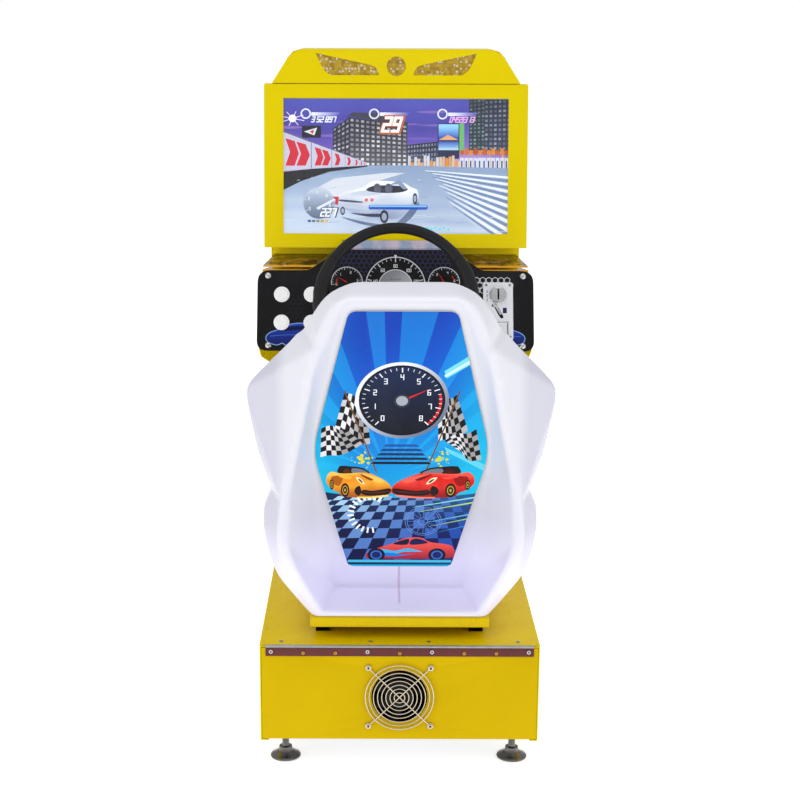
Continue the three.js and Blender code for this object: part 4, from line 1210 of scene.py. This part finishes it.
picture.add([(-150, -5), (150, -5), (150, 157), (60, 143), (-60, 143), (-150, 159)],
            lambda u, s: mix(ramp(FLOOR, s / 150), (10, 14, 54), 0.78 - 0.3 * min(1, max(0, (u + 60) / 150))))
levels = [146, 137, 126, 112, 95, 76, 54, 30, 2]
for j in range(8):
    for i in range(-9, 12):
        if (i + j) % 2:
            continue
        top, low = levels[j], levels[j + 1]
        w0, w1 = 13 + (146 - top) * 0.10, 13 + (146 - low) * 0.10
        k0, k1 = -0.26 * (146 - top), -0.26 * (146 - low)
        fade = min(1, max(0, (i + 7) / 15)) * 0.8 + 0.05 * j
        tile = [(i * w0 + k0, top), ((i + 1) * w0 + k0, top + 1),
                ((i + 1) * w1 + k1, low + 1), (i * w1 + k1, low)]
        picture.add(tile, mix((180, 216, 238), (26, 70, 168), fade))
for k, (s, paint) in enumerate(((138, (150, 230, 210)), (128, (190, 226, 90)), (104, (110, 200, 220)),
                                (96, (160, 214, 120)), (82, (60, 150, 220)))):
    picture.add([(20 + 9 * k, s - 16), (150, s + 10), (150, s + 13.5), (26 + 9 * k, s - 14)], paint)
for i in range(15):
    a = math.radians(62 + 15.4 * i)
    c, v = math.cos(a), math.sin(a)
    ends = [(-50 + 28 * c, 108 + 30 * v), (-50 + 39 * c, 108 + 42 * v)]
    picture.line(ends, 4.6 - 0.12 * i, (244, 250, 255))
for r in (31, 27.5, 8):
    picture.ring(39, 92, r, 0.8, (120, 160, 226))
for a in turns(16):
    picture.line([polar(r, a, 39, 92) for r in (8, 27)], 0.7, (110, 150, 220))
sports_car(picture, lambda x, y: (-14 - x * 0.79, 142 + y), (238, 150, 24), (150, 76, 10), (255, 222, 120))
sports_car(picture, lambda x, y: (x - 16, 142 + y), (222, 30, 26), (128, 10, 14), (255, 132, 110))

# Low coupe seen from the side at the foot of the picture.
COUPE = [(-58, 14), (-52, 26), (-34, 34), (-14, 42), (8, 54), (34, 56), (52, 46), (76, 42), (90, 36),
         (94, 20), (88, 11), (40, 8), (-20, 8), (-50, 8)]
picture.add(spline(COUPE, 4), lambda u, s: mix((150, 26, 60), (240, 92, 84), (s - 6) / 40))
picture.add(spline([(-12, 42), (9, 52), (16, 52), (12, 40)], 3), (24, 30, 70))
picture.add(spline([(18, 40), (21, 52), (34, 53), (48, 44)], 3), (30, 40, 90))
for flame, paint in (
        ([(-56, 24, 1), (-30, 30), (-8, 26), (14, 32), (40, 24, 1), (8, 24), (-14, 18), (-34, 22)],
         (60, 190, 236)),
        ([(-50, 18, 1), (-20, 22), (6, 18), (30, 21, 1), (0, 14), (-26, 14)], (40, 130, 220))):
    picture.add(spline(flame, 3), paint)
for u in (-40, 64):
    picture.add(circle(15, 26, u, 17), (20, 22, 50)).add(circle(10, 22, u, 17), (70, 120, 210))
    picture.add(circle(7.4, 20, u, 17), (30, 44, 110))
picture.add([(-90, 0), (90, 0), (88, 5.5), (-88, 5.5)], (80, 200, 232))

RISE = 7  # everything but the ground stands this much higher
picture.shapes[1:] = [([(u, s + RISE) for u, s in loop], paint) for loop, paint in picture.shapes[1:]]
bm = bmesh.new()
prism(bm, [EDGE], 0.3, 2.6, ART, 0.0, mat=1)
picture.lay(bm, ART, 2.8, 0)
piece("SeatPicture", "art_panel", bm, [PICTURE, WHITE_PLASTIC], 0)


# ---- dash ---------------------------------------------------------------
BUTTONS = [(-238.5, 120), (-176, 120), (-238.5, 60), (-176, 60)]
DASH_EDGE = rounded(both([(290, 0, 22), (290, 172, 26), (182, 173, 8), (117, 217.6, 10)]), 7)
holes = [circle(14.2, 24, u, v) for u, v in BUTTONS] + [circle(27, 32, 0, 80.6), rect(190, 241, 28, 143)]


def overlay(u, v):
    return mix((15, 15, 19), (30, 30, 40), (v - 60) / 260)


SPEED_V = 139                # middle of the speed dial
SIDE_U, SIDE_V = 102, 147    # middle of the dials beside it
dash = Sheet(DASH_EDGE, overlay, 40)
hexes(dash, -120, 120, 100, 214, 6.2, 0.7, (74, 72, 116),
      lambda u, v: math.hypot(u, v - SPEED_V) > 66 and math.hypot(abs(u) - SIDE_U, v - SIDE_V) > 35)
hexes(dash, -226, -192, 66, 118, 6.4, 0.6, (44, 44, 62))
hexes(dash, 158, 246, 130, 156, 7.4, 1.5, (222, 222, 226))
hexes(dash, 244, 262, 40, 120, 6.4, 0.5, (40, 40, 52))
dash.add(circle(63, 64, 0, SPEED_V), (20, 20, 25))
dash.ring(0, SPEED_V, 63.5, 2.2, (216, 218, 226), -28, 208, 60)
SPEEDS = ["20", "40", "60", "80", "100", "120", "140"]
dash.dial(0, SPEED_V, 60, SPEEDS, 205, -25, 6.4, (232, 234, 238), 24)
dash.add([(-3, 206), (3, 206), (0, 199)], (244, 244, 246))
dash.add(circle(36, 48, 0, SPEED_V),
         lambda u, v: mix((150, 152, 158), (206, 208, 214), (u - v + SPEED_V) / 70 + 0.5))
dash.ring(0, SPEED_V, 36, 1.4, (240, 240, 244))
dash.add(circle(8, 24, 0, SPEED_V), (60, 62, 70))
for u in (-9, -3, 3, 9):
    dash.add(rect(u - 1.6, u + 1.6, 153, 154.6), (90, 92, 100))
for side, labels in ((-1, list("0123")), (1, list("0246"))):
    u = side * SIDE_U
    dash.add(circle(33, 40, u, SIDE_V), (16, 16, 20))
    dash.ring(u, SIDE_V, 33.5, 1.7, (206, 208, 216), -10, 190, 36)
    dash.dial(u, SIDE_V, 31, labels, 190, 10, 5, (226, 228, 232), 16, 150 if side < 0 else 120)
    red = (160, 190) if side < 0 else (12, 40)
    dash.ring(u, SIDE_V, 23, 2.4, (206, 44, 36), *red, 8)
BODY = [(-270, 29), (-262, 38), (-246, 44), (-226, 54), (-196, 58), (-176, 50), (-160, 46), (-150, 34),
        (-156, 20), (-172, 15), (-180, 20), (-190, 15), (-226, 12), (-236, 17), (-248, 13), (-266, 19)]
for loop in (BODY, flip(BODY)):
    loop = spline(loop, 3)
    loop = loop if area(loop) > 0 else loop[::-1]
    dash.add(offset(loop, -1.7), (148, 190, 240))
    dash.add(loop, lambda u, v: mix((18, 34, 110), (40, 84, 200), (v - 12) / 44))
for side in (-1, 1):
    glass = [(side * 244, 42), (side * 226, 50), (side * 198, 53), (side * 184, 46)]
    dash.add(spline(glass, 3), (12, 22, 80))
    dash.line([(side * 262, 31), (side * 226, 34), (side * 176, 33)], 1, (90, 140, 226))
for hole in holes:
    dash.add(hole, None)

bm = bmesh.new()
prism(bm, [DASH_EDGE, *holes], -2.3, -0.15, DASH, 0.5, mat=1)
dash.lay(bm, DASH, -0.05, 0)
for u, v in ((-268, 161), (268, 161), (-266, 12), (266, 12)):
    turned(bm, [(6.6, -0.05), (6.5, 0.6), (5.2, 2.2), (3, 3.2), (0, 3.5)], DASH, u, v, 22, 2)
piece("Dash", "dash_panel", bm, [OVERLAY, BLACK_METAL, CHROME], 30)

for i, (u, v) in enumerate(BUTTONS, 1):
    bm = bmesh.new()
    ridges = [(0, -35), (13.4, -35), (13.6, -34)]
    ridges += [(13.8 if k % 2 else 13.1, -33 + 1.3 * k) for k in range(25)]
    turned(bm, [*ridges, (13.8, 0.3), (16, 0.3), (16.6, 0.9), (16.6, 2.4), (16, 3.6), (14.6, 4.3),
                (13.2, 4.2), (12.9, 3.4), (12.8, -25), (0, -25)], DASH, u, v, 40)
    piece(f"ButtonBezel_{i}", f"button_housing_{i}", bm, [BUTTON], 40)
    bm = bmesh.new()
    turned(bm, [(0, -18), (12.2, -18), (12.4, -17.5), (12.4, 4), (12, 5), (11, 5.8), (9.4, 6),
                (8, 5.7), (0, 5.3)], DASH, u, v, 40)
    piece(f"ButtonCap_{i}", f"button_cap_{i}", bm, [BUTTON], 40)

# ---- coin plate ---------------------------------------------------------
bm = bmesh.new()
window = rect(225, 233, 81, 93, 1)
lever = spline([(202, 99), (207, 102), (212, 99), (221, 84), (226, 73), (221, 70), (214, 80),
                (207, 94), (202, 95)], 3)
prism(bm, [rect(184, 246.5, 24, 147, 5), circle(12.7, 36, KNOB_U, KNOB_V),
           rect(195, 235, 30, 62, 1.5), window, lever], 0.3, 3.3, DASH, 0.9, 3)
# Painted shade: a black backing sheet under the plate fills the window and the lever slot with darkness.
prism(bm, [rect(190, 241, 66, 104, 1)], 0.2, 1.1, DASH, mat=1)
turned(bm, [(18.4, 3.2), (18.2, 4.6), (17.2, 5.2), (16.6, 4.4), (16.6, 3.2)], DASH, KNOB_U, KNOB_V, 48, 2)
turned(bm, [(3.6, 1.1), (3.4, 3.4), (2.4, 4.0), (0, 4.1)], DASH, 207, 98, 20, 2)
arm = rounded([(208, 95.5, 1), (219, 77, 1), (223.5, 79, 1), (212, 98.5, 1)])
prism(bm, [arm], 1.1, 2.6, DASH, 0.4, mat=2)
prism(bm, [rect(226, 232, 82, 92, 0.6)], 1.1, 1.5, DASH, mat=3)
prism(bm, [rect(193, 237, 28.4, 63.6, 2), rect(195, 235, 30.4, 61.6, 1.4)], 3.2, 4.4, DASH, 0.5, mat=2)
for u, v in ((190.5, 141), (240, 141), (190.5, 30), (240, 30)):
    screw(bm, u, v, DASH, 3.1, 1.5, 3.3, rng.uniform(0, 1.5), 2, 1)
for k in range(3):
    prism(bm, [rect(191.6, 192.8, 106 + 9 * k, 112 + 9 * k)], 3.25, 3.5, DASH, mat=1)
piece("CoinPlate", "coin_plate", bm, [BRIGHT, BLACK_AND_HOLE_SHADE, CHROME, WINDOW], 30)

bm = bmesh.new()
slot = rect(213.5, 216.5, 108.4, 131.6, 1.2)
prism(bm, [circle(16, 60, KNOB_U, KNOB_V), slot], 7.6, 11.4, DASH, 1.2, 3)
prism(bm, [circle(12, 32, KNOB_U, KNOB_V)], -16, 7.7, DASH)
# Painted shade: a dark disc at the floor of the coin slot.
prism(bm, [circle(11.8, 32, KNOB_U, KNOB_V)], 7.5, 7.8, DASH, mat=1)
for a in turns(36):
    turned(bm, [(0.75, 8), (0.75, 10.2), (0, 10.6)], DASH, *polar(15.7, a, KNOB_U, KNOB_V), 6)
piece("CoinKnob", "coin_button", bm, [CHROME, BLACK_AND_HOLE_SHADE], 30)

bm = bmesh.new()
prism(bm, [rect(196, 234, 31.5, 60, 1.5)], 0.4, 2.1, DASH, 0.5)
prism(bm, [rect(201, 229, 36, 54, 3), rect(202.4, 227.6, 37.4, 52.6, 2)], 2.0, 2.8, DASH, 0.3)
rod = DASH @ Matrix.Translation((0, 60, 1.4)) @ Matrix.Rotation(math.pi / 2, 4, "Y")
turned(bm, [(0, 196), (1.8, 196), (1.8, 234), (0, 234)], rod, 0, 0, 14)
piece("CoinFlap", "coin_flap", bm, [BRIGHT], 30)
worked("ConsoleCover", "console_cover", [COVER], 0.6)


# ---- steering wheel -----------------------------------------------------
RIM = 154  # centre line of the grip


def grip_size(a):
    """Half depth and half width of the rim at angle a: fuller where the hands hold it."""
    hold = math.exp(-((abs(math.cos(a)) - 1) / 0.16) ** 2) * (1 if math.sin(a) > -0.5 else 0.4)
    finger = 0.035 * math.sin(a * 34) * hold
    return 12 + 3 * hold, (11.6 + 4 * hold) * (1 + finger)


bm = bmesh.new()
rings = []
for a in turns(216):
    deep, wide = grip_size(a)
    row = []
    for c, s in circle(1, 20):
        flat = 1 - 0.07 * max(0, -c) ** 2
        row.append(bm.verts.new(WHEEL @ Vector((*polar(RIM + wide * c * flat, a), deep * s))))
    rings.append(row)
for a, b in zip(rings, rings[1:] + rings[:1]):
    for k in range(20):
        j = (k + 1) % 20
        bm.faces.new((a[k], b[k], b[j], a[j]))
for a in (0.62, math.pi - 0.62, -0.6, math.pi + 0.6):
    deep, wide = grip_size(a)
    for shift in (-0.006, 0.006):
        stitch = [(*polar(RIM + (wide + 0.15) * x, a + shift), (deep + 0.15) * y) for x, y in circle(1, 28)]
        tube(bm, stitch, 0.5, WHEEL, 5, True)
piece("WheelRim", "wheel_rim", bm, [GRIP], 60)

bm = bmesh.new()
for turn in (0, 180, 270):
    spin = WHEEL @ Matrix.Rotation(math.radians(turn), 4, "Z")
    arm = rounded([(24, -19, 0), (66, -15, 20), (118, -17, 12), (137.8, -27, 2), (137.8, 27, 2),
                   (118, 17, 12), (66, 15, 20), (24, 19, 0)])
    gap = rounded([(58, -6, 4), (112, -8, 6), (112, 8, 6), (58, 6, 4)])
    prism(bm, [arm, gap], -2.4, 2.4, spin, 0.9, 3)
turned(bm, [(0, -8), (8, -170), (8, -38), (26, -38), (26, -6), (40, -2.6), (40, 2), (39, 2.8),
            (0, 2.8)], WHEEL, 0, 0, 48)
for a in turns(6, 0.3):
    turned(bm, [(3.4, 2.8), (3.2, 4.6), (2.2, 5.2), (2.2, 3.8), (0, 3.8)], WHEEL, *polar(37, a), 14, 1)
piece("WheelSpokes", "wheel_spokes", bm, [BLACK_METAL, CHROME], 34)

bm = bmesh.new()
turned(bm, [(0, 2.9), (33, 2.9), (34, 4), (34, 7.6), (33, 9.4), (30, 10.6), (28.6, 10.2), (28, 11),
            (26, 13.4), (20, 15.6), (10, 16.8), (0, 17)], WHEEL, 0, 0, 56)
turned(bm, [(31.4, 9.6), (31, 10.9), (29.8, 11.1), (29.4, 10)], WHEEL, 0, 0, 56, 1)
piece("WheelCap", "wheel_cap", bm, [PLASTIC, CHROME], 30)


# ---- picture on the display ---------------------------------------------
def night(u, v):
    return ramp([(0, (196, 168, 214)), (0.25, (130, 104, 196)), (0.6, (84, 76, 170)), (1, (92, 96, 190))],
                (v - HORIZON) / 140 + 0.06 * math.sin(u * 0.03))


def road(u, v):
    band = 0.5 + 0.5 * math.sin(v * 0.23 + u * 0.012)
    return mix(mix((150, 170, 200), (208, 220, 238), (HORIZON - v) / 140 + 0.2 * band), (132, 150, 186),
               0.35 * band * (u > -60))


PANEL = (-252, 252, 14, 328)    # left, right, foot and head of the display panel
HORIZON = 174
show = Sheet(rect(*PANEL), night, 16)
for i in range(9):
    u, v, w = rng.uniform(-230, 120), rng.uniform(215, 300), rng.uniform(26, 60)
    cloud = spline([(u - w, v), (u, v + 3), (u + w, v), (u, v - 3)], 3)
    show.add(cloud, mix((150, 120, 190), (110, 96, 190), rng.random()))
for i in range(16):
    a, r = TAU * i / 16 + 0.1, 26 if i % 2 else 9
    show.line([(-218, 271), (-218 + r * math.cos(a), 271 + r * 0.6 * math.sin(a))], 1.6, (236, 222, 246))
show.add(circle(8, 16, -218, 271), (255, 246, 250))


def tower(u0, u1, v0, v1, rise, cols, rows, wall, lit, glow=1.0):
    """A block seen a little from the side, with rows of windows."""
    show.add([(u0, v0), (u1, v0), (u1, v1 + rise), (u0, v1)],
             lambda u, v: mix(wall, (44, 44, 66), (v - v0) / (v1 - v0)))
    for c in range(cols):
        for r in range(rows):
            s0, s1 = (c + 0.22) / cols, (c + 0.78) / cols
            t0, t1 = (r + 0.2) / rows, (r + 0.72) / rows
            top0, top1 = v1 + rise * s0, v1 + rise * s1
            bright = mix(wall, lit, (0.25 + 0.75 * rng.random()) * (1 - 0.45 * t0) * glow)
            corners = ((s0, top0, t0), (s1, top1, t0), (s1, top1, t1), (s0, top0, t1))
            show.add([(u0 + (u1 - u0) * s, v0 + (top - v0) * t) for s, top, t in corners], bright)


tower(18, 92, 172, 216, 8, 12, 5, (100, 104, 130), (196, 214, 236), 0.8)
tower(-133, -98, 176, 250, 24, 4, 9, (78, 76, 92), (226, 222, 230))
tower(-98, 24, 172, 274, -16, 11, 10, (108, 106, 118), (252, 250, 246))
show.add([(-106, 272), (-92, 284), (-20, 282), (26, 262), (24, 256), (-98, 276)], (70, 68, 84))
tower(154, 196, 200, 318, 6, 5, 15, (56, 70, 84), (170, 214, 200), 0.8)
tower(186, 252, 196, 320, 4, 7, 13, (66, 74, 96), (196, 208, 230), 0.8)
show.add(rect(88, 134, 188, 262), (40, 46, 86))
show.add(rect(90, 132, 227, 260), lambda u, v: mix((20, 60, 170), (160, 214, 250), (v - 227) / 24))
show.add([(90, 227), (110, 238), (132, 227)], (236, 176, 130))
show.add(rect(90, 132, 206, 224), lambda u, v: mix((200, 230, 250), (50, 96, 190), (v - 206) / 18))
show.add(rect(104, 118, 172, 190), (30, 130, 150))
show.add(rect(134, 144, 205, 262), (120, 190, 120))
for i in range(34):
    u = 26 + i * 6.6
    h = rng.uniform(6, 22)
    show.add(rect(u, u + 5.6, 170, 174 + h), mix((230, 150, 60), (214, 222, 240), rng.random()))
for i in range(12):
    u = 136 + i * 9.4
    show.add(rect(u, u + 8, 196, 206 + 4 * (i % 2)), mix((236, 160, 40), (190, 90, 40), rng.random()))
    show.add(rect(u, u + 7.4, 168, 190), (216, 226, 244)).add(rect(u + 2, u + 5, 168, 184), (70, 80, 120))
show.add([(-252, 10), (252, 10), (252, 168), (120, 171), (20, 174), (-60, 173), (-150, 162),
          (-252, 130)], road)
show.add([(-252, 158), (-130, 171), (-60, 175), (-60, 171), (-140, 160), (-200, 140), (-252, 114)],
         (34, 34, 42))
ARROW = ((0, 0.12), (0.3, 0.12), (0.44, 0.5), (0.3, 0.84), (0, 0.84), (0.15, 0.5))
for i in range(7):
    near, far = 0.66 ** i, 0.66 ** (i + 1)
    u0, u1 = -52 - 190 * near, -52 - 190 * far
    low0, low1 = HORIZON - 12 * near, HORIZON - 12 * far
    top0, top1 = 176 + 70 * near, 176 + 70 * far
    show.add([(u0, low0), (u1, low1), (u1, top1), (u0, top0)], (206, 206, 226))
    show.line([(u0, top0), (u1, top1)], 3 * near, (116, 110, 150))
    show.line([(u1, low1), (u1, top1)], 3 * near, (130, 124, 160))
    w = u1 - u0
    for start in (0.14, 0.5) if i < 2 else (0.2,):
        show.add([(u0 + w * (start + s), (low0 + (low1 - low0) * (start + s)) * (1 - t)
                   + (top0 + (top1 - top0) * (start + s)) * t) for s, t in ARROW], (214, 44, 66))
for i in range(18):
    slope, start = math.tan(math.radians(4 + 1.7 * i)), 62 + 5 * (i % 5) + 3 * i
    show.add([(start, 168 - start * slope), (250, 168 - 250 * slope), (250, 163.5 - 258 * slope),
              (start, 166.6 - start * slope)], (128, 146, 184) if i % 2 else (240, 245, 252))
show.add([(-190, 112), (-130, 146), (-20, 158), (20, 158), (-60, 134), (-110, 104)], (222, 226, 236))
for i in range(60):
    u, v = rng.uniform(-240, 250), rng.uniform(20, 152)
    w = rng.uniform(10, 44) * (HORIZON - v) / 100
    show.add([(u, v), (u + w, v + w * 0.08), (u + w * 1.1, v + w * 0.08 + 1), (u + w * 0.1, v + 1)],
             mix((150, 164, 192), (244, 246, 250), rng.random()))


def racer(points, paint):
    """One smooth patch of the car ahead."""
    show.add(spline(points, 3), paint)


racer([(-116, 66), (-60, 54), (-20, 50), (6, 56), (44, 96), (48, 84), (20, 52), (-30, 44), (-80, 52)],
      (120, 134, 166))
racer([(-124, 100), (-118, 112), (-98, 120), (-68, 128), (-50, 140), (-20, 141), (14, 138), (32, 128),
       (46, 122), (48, 104), (34, 94), (22, 74), (2, 62), (-30, 64), (-64, 68), (-100, 78), (-118, 86)],
      lambda u, v: mix((158, 170, 200), (250, 252, 255), (v - 60) / 66 + 0.1 * math.sin(u * 0.08)))
racer([(-98, 113), (-70, 121), (-40, 121), (-30, 115), (-60, 109)], (206, 214, 230))
racer([(-62, 121), (-50, 130), (-20, 132), (14, 130), (26, 123), (8, 117), (-30, 116)], (44, 46, 66))
racer([(-14, 131), (2, 141), (10, 141), (24, 126), (16, 124), (4, 134)], (150, 164, 192))
for u in (-44, -20):
    racer([(u, 118), (u - 2, 131), (u + 5, 136), (u + 12, 131), (u + 12, 118)], (96, 98, 120))
racer([(-118, 102), (-72, 98), (-74, 95), (-116, 98)], (60, 70, 110))
racer([(-120, 92), (-64, 86), (-30, 84), (-30, 80), (-64, 81), (-118, 86)], (196, 206, 226))
racer([(-98, 74), (-60, 66), (-28, 66), (-30, 72), (-62, 72)], (70, 78, 104))
for u in (-62, -50):
    show.add(circle(3.6, 14, u, 101), (206, 36, 40)).add(circle(1.8, 10, u, 101), (255, 150, 120))
for u, v, rx, ry in ((-24, 66, 9, 14), (41, 104, 5, 12), (-112, 78, 5, 9)):
    show.add([(u + rx * c, v + ry * s) for c, s in circle(1, 18)], (50, 56, 76))
    show.add([(u + rx * 0.6 * c, v + ry * 0.6 * s) for c, s in circle(1, 14)], (170, 180, 200))
show.add(rect(-57, 68, 81, 91, 4), (40, 96, 200)).add(rect(-55, 66, 86.5, 90, 2), (150, 206, 250))
for u, w, v in ((-190, 74, 281), (-46, 76, 281), (98, 76, 281)):
    show.ring(u, v, 11, 3, (236, 240, 250))
    show.add([(u + 12, v + 3), (u + w, v + 3), (u + w - 8, v - 4), (u + 12, v - 4)], lambda x, y: mix(
        (246, 248, 255), night(x, y), ((x + 190) % 144 - 20) / 60))
show.number("3 52 897", -178, 264, 10.5, (250, 250, 255), 0.3, 0.2)
show.number("29", -30.5, 243, 31, (196, 110, 60), 0.3, 0.3)
show.number("29", -29, 245, 28, (252, 250, 252), 0.3, 0.2)
show.number("0459313", 113, 264, 10.5, (246, 190, 240), 0.3, 0.2)
show.add(rect(-198, -158, 231, 256, 2), (24, 26, 44))
show.add([(-194, 244), (-166, 252), (-172, 236)], (226, 230, 240))
show.add([(-182, 244), (-172, 248), (-175, 239)], (214, 40, 50))
show.add(circle(33, 40, -162, 94), lambda u, v: mix((96, 112, 140), (196, 208, 226), (v - 60) / 60))
show.dial(-162, 94, 32, list("02468"), 210, -10, 6, (240, 244, 250), 20)
show.add([(-168, 84), (-130, 104), (-127, 101), (-164, 80)], (232, 238, 250))
show.add([(-134, 108), (-120, 108), (-122, 90), (-129, 92), (-127, 101)], (206, 40, 56))
show.number("227", -160, 66, 17, (80, 90, 130), 0.3, 0.3)
show.number("227", -159, 67, 15.5, (250, 252, 255), 0.3, 0.2)
for i in range(5):
    show.add(rect(-186 + 9 * i, -179 + 9 * i, 54, 59), mix((70, 96, 160), (230, 190, 60), i / 4))
for i in range(9):
    show.add(circle(2.6, 8, 40 + i * 9, 40 + 3 * (i % 2)), (96, 226, 236))

bm = bmesh.new()
prism(bm, [rect(*PANEL, 3)], -26, -6.6, SCREEN, 0.6, mat=1)
prism(bm, [rect(*PANEL, 3), rect(-238.6, 238.6, 28, 311.8)], -6.7, -6.05, SCREEN, 0.1, mat=2)
show.lay(bm, SCREEN, -6.4, 0)
piece("Display", "lcd_panel", bm, [DISPLAY, BLACK_METAL, BRUSHED], 0)
bm = bmesh.new()
prism(bm, [rect(-246, 246, 22, 321, 2)], -5.6, -2.6, SCREEN, 0.3)
piece("ScreenGlass", "screen_glass", bm, [GLASS], 30)

# ---- marquee ------------------------------------------------------------
MARQUEE = face(0, 911, 0)
wing = rounded([(36, 1127.5, 0), (38, 1134.5, 3), (42.5, 1144, 5), (58, 1149.5, 9), (169, 1172.5, 0),
                (153, 1138.5, 9), (139, 1127.5, 7)])
top_edge = rounded(both([(262, 1110.3, 1), (228, 1163, 16), (216, 1176, 16), (199, 1180.6, 16)]), 6)
bm = bmesh.new()
prism(bm, [top_edge, wing, flip(wing), circle(20, 40, 0, 1146)], -2, 0, MARQUEE, 0.5)
piece("MarqueePanel", "marquee_panel", bm, [YELLOW], 30)
bm = bmesh.new()
prism(bm, [rect(-180, 180, 1116, 1176)], -4.3, -2.3, MARQUEE)
piece("MarqueeFilm", "marquee_film", bm, [FILM], 30)


# ---- floor, light and camera --------------------------------------------
paper = Look("PaleFloor", (244, 244, 244), 0.9, spec=0.1)
paper.mottled(0.8, 0.06, (236, 236, 236)).glow((255, 255, 255), 0.62)
mesh = bpy.data.meshes.new("Floor")
corners = [(x, y, -0.0005) for x, y in ((-30, -12), (30, -12), (30, 60), (-30, 60))]
mesh.from_pydata(corners, [], [(0, 1, 2, 3)])
mesh.materials.append(paper.done())
floor = bpy.data.objects.new("Floor", mesh)
bpy.context.scene.collection.objects.link(floor)


def lamp(name, where, target, size, power):
    """A rectangular light, placed and aimed in metres in the frame's own space."""
    light = bpy.data.lights.new(name, "AREA")
    light.shape = "RECTANGLE"
    light.size, light.size_y = size
    light.energy = power
    ob = bpy.data.objects.new(name, light)
    ob.location = where
    ob.rotation_euler = (Vector(target) - Vector(where)).to_track_quat("-Z", "Y").to_euler()
    bpy.context.scene.collection.objects.link(ob)


lamp("Overhead", (0.0, -0.6, 3.6), (0, 0, 0.4), (3.0, 3.0), 16)
lamp("LeftPanel", (-2.6, -2.2, 1.9), (0, 0, 0.6), (1.6, 2.2), 9)
lamp("RightPanel", (2.8, -1.8, 1.7), (0, 0, 0.6), (1.6, 2.2), 7)
lamp("BackPanel", (0.4, 3.2, 2.6), (0, 0.2, 0.6), (3.0, 1.6), 9)

world = bpy.data.worlds.new("Studio")
bpy.context.scene.world = world
world.use_nodes = True
backdrop = world.node_tree.nodes["Background"]
backdrop.inputs["Color"].default_value = (1, 1, 1, 1)
seen = world.node_tree.nodes.new("ShaderNodeLightPath").outputs["Is Camera Ray"]
level = world.node_tree.nodes.new("ShaderNodeMapRange")
level.inputs[3].default_value = 0.62
world.node_tree.links.new(seen, level.inputs[0])
world.node_tree.links.new(level.outputs[0], backdrop.inputs["Strength"])
bpy.context.scene.view_settings.view_transform = "Standard"

camera = bpy.data.objects.new("Camera", bpy.data.cameras.new("Camera"))
camera.data.lens = 72
camera.data.sensor_width = 36
camera.data.shift_x = 0.0335
camera.location = (-0.046, -2.9855, 1.228)
tip = math.radians(90 - 13.157)
camera.rotation_euler = (Matrix.Rotation(tip, 3, "X") @ Matrix.Rotation(math.radians(0.2), 3, "Z")).to_euler()
bpy.context.scene.collection.objects.link(camera)
bpy.context.scene.camera = camera
